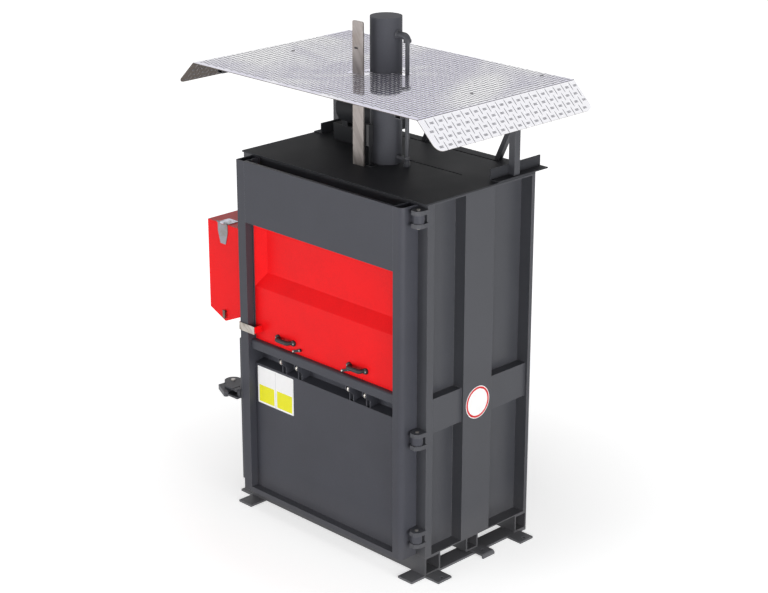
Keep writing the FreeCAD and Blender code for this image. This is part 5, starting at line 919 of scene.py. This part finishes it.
# The roof's corner radius, and how near a group's middle comes to an edge.
ROOF_CORNER, EDGE_CLEAR = 0.045, 0.015
drop = math.atan2(FLAP_DOWN, FLAP_OUT)
flap_long = math.hypot(FLAP_DOWN, FLAP_OUT)
roof_y, roof_half = (roof_low.y + roof_high.y) / 2, (roof_high.y - roof_low.y) / 2
# The openings for cylinder, pipe and strap: middle, half sizes, corner radius, and how far the groups keep
# from the box that is smaller by that radius.
OPENINGS = (((0, 0.020), (0.0845, 0.0845), 0.0845, 0.0985), ((0.085, 0.020), (0.080, 0.013), 0.002, 0.015),
            ((-0.046, -0.131), (0.040, 0.006), 0.002, 0.015))

tread_tree = bpy.data.node_groups.new("tread bars", "GeometryNodeTree")
given = input_sockets(tread_tree, [("Flap group", "Object"), ("Flap bar", "Object"),
                                   ("Flat group", "Object"), ("Fold line", "Float"),
                                   ("Sheet face", "Float"), ("Turned over", "Float"),
                                   ("Finish", "Material")])
fold_line = given["Fold line"]
wide, deep = PITCH * (COLUMNS - 1), PITCH * (ROWS - 1)
lattice = add(tread_tree, "GeometryNodeMeshGrid", Vertices_X=COLUMNS, Vertices_Y=ROWS, Size_X=wide,
              Size_Y=deep)
set_out = add(tread_tree, "GeometryNodeTransform", {"Geometry": lattice},
              Translation=(0, FIRST_ROW + deep / 2, 0))
spot = add(tread_tree, "GeometryNodeInputPosition").outputs[0]
axes = add(tread_tree, "ShaderNodeSeparateXYZ", {0: spot})
x, y = axes.outputs["X"], axes.outputs["Y"]
side = add(tread_tree, "ShaderNodeMath", {0: x}, operation="SIGN")
size = add(tread_tree, "ShaderNodeMath", {0: x}, operation="ABSOLUTE")

# Every other group of the lattice is marked odd, as on a draughtboard.
columns_out = add(tread_tree, "ShaderNodeMath", {0: x, 1: PITCH}, operation="DIVIDE")
column = add(tread_tree, "ShaderNodeMath", {0: columns_out}, operation="ROUND")
above_first = add(tread_tree, "ShaderNodeMath", {0: y, 1: FIRST_ROW}, operation="SUBTRACT")
rows_up = add(tread_tree, "ShaderNodeMath", {0: above_first, 1: PITCH}, operation="DIVIDE")
row = add(tread_tree, "ShaderNodeMath", {0: rows_up}, operation="ROUND")
count = add(tread_tree, "ShaderNodeMath", {0: column, 1: row}, operation="ADD")
left_over = add(tread_tree, "ShaderNodeMath", {0: count, 1: 2.0}, operation="FLOORED_MODULO")
odd = add(tread_tree, "ShaderNodeMath", {0: left_over, 1: 0.5}, operation="GREATER_THAN")
marked = add(tread_tree, "GeometryNodeStoreNamedAttribute", {"Geometry": set_out, "Value": odd},
             data_type="FLOAT", Name="odd")

# Columns beyond the fold are spread out to the flap's own pitch.
columns_away = add(tread_tree, "ShaderNodeMath", {0: column}, operation="ABSOLUTE")
columns_past = add(tread_tree, "ShaderNodeMath", {0: columns_away, 1: FLAT_COLUMNS}, operation="SUBTRACT")
beyond = add(tread_tree, "ShaderNodeMath", {0: columns_past, 1: 0.0}, operation="MAXIMUM")
any_beyond = add(tread_tree, "ShaderNodeMath", {0: beyond, 1: 0.5}, operation="GREATER_THAN")
first_shift = FOLD + FLAP_FIRST - FLAP_PITCH - FLAT_COLUMNS * PITCH
shift = add(tread_tree, "ShaderNodeMath", {0: any_beyond, 1: first_shift}, operation="MULTIPLY")
stretch = add(tread_tree, "ShaderNodeMath", {0: beyond, 1: FLAP_PITCH - PITCH, 2: shift},
              operation="MULTIPLY_ADD")
reach = add(tread_tree, "ShaderNodeMath", {0: stretch, 1: size}, operation="ADD")
spread_x = add(tread_tree, "ShaderNodeMath", {0: reach, 1: side}, operation="MULTIPLY")
unfolded = add(tread_tree, "ShaderNodeCombineXYZ", {0: spread_x, 1: y})
spaced = add(tread_tree, "GeometryNodeSetPosition", {"Geometry": marked, "Position": unfolded})

# Groups off the sheet's outline or in its openings are left out.
edge = box_distance(tread_tree, spot, (0, roof_y), (FOLD + flap_long, roof_half), ROOF_CORNER)
off_sheet = add(tread_tree, "ShaderNodeMath", {0: edge, 1: ROOF_CORNER - EDGE_CLEAR},
                operation="GREATER_THAN")
for centre, half, corner, clear in OPENINGS:
    away = box_distance(tread_tree, spot, centre, half, corner)
    hole = add(tread_tree, "ShaderNodeMath", {0: away, 1: clear}, operation="LESS_THAN")
    off_sheet = add(tread_tree, "ShaderNodeMath", {0: off_sheet, 1: hole}, operation="MAXIMUM")
kept = add(tread_tree, "GeometryNodeDeleteGeometry", {"Geometry": spaced, "Selection": off_sheet},
           domain="POINT")

# The sheet is folded down at the fold line.
over_fold = add(tread_tree, "ShaderNodeMath", {0: size, 1: fold_line}, operation="SUBTRACT")
past = add(tread_tree, "ShaderNodeMath", {0: over_fold, 1: 0.0}, operation="MAXIMUM")
inner = add(tread_tree, "ShaderNodeMath", {0: size, 1: fold_line}, operation="MINIMUM")
folded_size = add(tread_tree, "ShaderNodeMath", {0: past, 1: math.cos(drop), 2: inner},
                  operation="MULTIPLY_ADD")
folded_x = add(tread_tree, "ShaderNodeMath", {0: side, 1: folded_size}, operation="MULTIPLY")
folded_z = add(tread_tree, "ShaderNodeMath", {0: past, 1: -math.sin(drop), 2: given["Sheet face"]},
               operation="MULTIPLY_ADD")
folded = add(tread_tree, "ShaderNodeCombineXYZ", {0: folded_x, 1: y, 2: folded_z})
outside = add(tread_tree, "ShaderNodeMath", {0: size, 1: fold_line}, operation="GREATER_THAN")
flapped = add(tread_tree, "GeometryNodeStoreNamedAttribute", {"Geometry": kept, "Value": outside},
              data_type="FLOAT", Name="on_flap")
bent_sheet = add(tread_tree, "GeometryNodeSetPosition", {"Geometry": flapped, "Position": folded})

# Each point takes its group, leaning with the flap or turned a quarter.
was_odd = add(tread_tree, "GeometryNodeInputNamedAttribute", data_type="FLOAT", Name="odd")
on_flap = add(tread_tree, "GeometryNodeInputNamedAttribute", data_type="FLOAT", Name="on_flap")
flap_side = add(tread_tree, "ShaderNodeMath", {0: side, 1: on_flap}, operation="MULTIPLY")
lean = add(tread_tree, "ShaderNodeMath", {0: flap_side, 1: drop, 2: given["Turned over"]},
           operation="MULTIPLY_ADD")
flat_here = add(tread_tree, "ShaderNodeMath", {0: 1.0, 1: on_flap}, operation="SUBTRACT")
turned_here = add(tread_tree, "ShaderNodeMath", {0: flat_here, 1: was_odd}, operation="MULTIPLY")
quarter = add(tread_tree, "ShaderNodeMath", {0: turned_here, 1: math.pi / 2}, operation="MULTIPLY")
tilt = add(tread_tree, "ShaderNodeCombineXYZ", {1: lean, 2: quarter})
three_here = add(tread_tree, "ShaderNodeMath", {0: on_flap, 1: was_odd}, operation="MULTIPLY")
one_here = add(tread_tree, "ShaderNodeMath", {0: on_flap, 1: three_here}, operation="SUBTRACT")
together = add(tread_tree, "GeometryNodeJoinGeometry")
for label, wanted in (("Flap group", three_here), ("Flap bar", one_here), ("Flat group", flat_here)):
    source = add(tread_tree, "GeometryNodeObjectInfo", {"Object": given[label]})
    laid = add(tread_tree, "GeometryNodeInstanceOnPoints", {"Points": bent_sheet, "Selection": wanted,
                                                            "Instance": source.outputs["Geometry"],
                                                            "Rotation": tilt})
    tread_tree.links.new(laid.outputs[0], together.inputs[0])
real = add(tread_tree, "GeometryNodeRealizeInstances", {"Geometry": together})
painted = add(tread_tree, "GeometryNodeSetMaterial", {"Geometry": real, "Material": given["Finish"]})
add(tread_tree, "NodeGroupOutput", {"Mesh": painted})


def bar_steel(name, shade_spread_mm=38.46154):
    """Rolled bars: dark round the foot as painted shade and reflection, white at the crest as painted
    highlight, and darker on the folded flaps as painted reflection.
    """
    material, tree = fresh_material(name)
    place = add(tree, "ShaderNodeTexCoord").outputs["Object"]
    on_flap, size = past_fold(tree, place)
    rise = add(tree, "ShaderNodeAttribute", attribute_name="rise").outputs["Fac"]
    cloud = add(tree, "ShaderNodeTexNoise", {"Vector": place}, Scale=1000 / shade_spread_mm, Detail=4.0)
    shade_reach = add(tree, "ShaderNodeMapRange", {"Value": cloud}, From_Min=0.3, From_Max=0.7, To_Min=0.50,
               To_Max=0.85)
    lit_share = add(tree, "ShaderNodeMapRange", {"Value": rise, "From Min": shade_reach})
    # Painted shade, reflection and highlight: each bar is coloured dark at its foot and white at its crest,
    # darker on the flaps.
    flat, flap = [add(tree, "ShaderNodeMix", {"Factor": lit_share, 6: linear(foot), 7: linear(crest)},
                      data_type="RGBA")
                  for foot, crest in (("#55535D", "#FFFFFF"), ("#3A3940", "#A3A2AA"))]
    base = add(tree, "ShaderNodeMix", {"Factor": on_flap, 6: flat.outputs[2], 7: flap.outputs[2]},
               data_type="RGBA")
    skin = add(tree, "ShaderNodeBsdfPrincipled", {"Base Color": base.outputs[2]}, Metallic=0.7,
               Roughness=0.28)
    add(tree, "ShaderNodeOutputMaterial", {"Surface": skin})
    return material


SHEET, BAR_WIDE, BAR_HIGH, BAR_STEP = 0.003, 0.0032, 0.0012, 0.0044
FLAP_BAR_LONG, FLAT_BAR_LONG, LONG_BAR_LONG, LONG_BAR_WIDE = 0.030, 0.031, 0.052, 0.0042
for word, face, fold, over, high in (("top", roof_high.z, FOLD, 0.0, BAR_HIGH),
                                     ("under", roof_high.z - SHEET, FOLD - SHEET * 0.4, math.pi,
                                      BAR_HIGH / 2)):
    threes = [((step * BAR_STEP, 0), FLAP_BAR_LONG, BAR_WIDE, "Y") for step in (-1, 0, 1)]
    flat_threes = [((0, step * BAR_STEP), FLAT_BAR_LONG, BAR_WIDE, "X") for step in (-1, 0, 1)]
    patterns = {"Flap group": bar_group("flap_group_" + word, threes, high),
                "Flap bar": bar_group("flap_bar_" + word, [((0, 0), LONG_BAR_LONG, LONG_BAR_WIDE, "X")],
                                      high),
                "Flat group": bar_group("flat_group_" + word, flat_threes, high)}
    places = {"Fold line": fold, "Sheet face": face, "Turned over": over,
              "Finish": bar_steel("tread bars " + word)}
    start = bpy.data.meshes.new("tread_start")
    bars = grown("tread_bars_" + word, start, tread_tree, {**patterns, **places}, "body")
    for pattern in patterns.values():
        bpy.data.objects.remove(pattern)

# ---------------------------------------------------------------------------
# The roof bolts: zinc plated cup heads on thin washers, gone dull, one near each
# end of the two side rails.
# ---------------------------------------------------------------------------
low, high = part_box("roof_bolts")
WASHER_IN_X, WASHER_IN_Y = 0.009, 0.0104
bolt_outline = [(0.0105, 0.0), (0.0105, 0.0010), (0.0080, 0.0012), (0.0078, 0.0028), (0.0060, 0.0046),
                (0.0028, 0.0054)]
shape = bmesh.new()
for x in (low.x + WASHER_IN_X, high.x - WASHER_IN_X):
    for y in (low.y + WASHER_IN_Y, high.y - WASHER_IN_Y):
        turn(shape, bolt_outline, (x, y, low.z), "Z", sides=24)
bolts = piece("roof_bolts_cup", shape, bare_steel("zinc plated bolt", "#7C7C80", "Z"), "body",
              smooth_below=60)
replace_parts(bolts, "roof_bolts")

# ---------------------------------------------------------------------------
# The control box: folded sheet in the gate's red enamel.  Its lid hangs on a
# zinc plated hinge, whose leaf on top is painted paler as painted highlight and
# leaf in front darker as painted shade, and shuts with a turning lock; inside,
# a painted plate carries two moulded push buttons.
# ---------------------------------------------------------------------------
finish_nodes(["control_box", "control_lid"], red_enamel)
# One zinc in two copies: painted highlight on the top leaf, painted shade on the front leaf.
finish_nodes(["lid_hinge_fixed"], bare_steel("zinc hinge leaf painted lit", "#D2D4E0", "X"))
finish_nodes(["lid_hinge_moving"], bare_steel("zinc hinge leaf painted shaded", "#84858B", "Z"))
finish_nodes(["lid_lock"], bare_steel("browned lock steel", "#5E4C49", "Z"))
finish_nodes(["control_plate"], machine_enamel("light grey plate enamel", "#B9BABC"))
finish_nodes(["start_button"], moulded_plastic("green button plastic", "#10803A", roughness=0.25))
finish_nodes(["stop_button"], moulded_plastic("red button plastic", "#C01014", roughness=0.25))
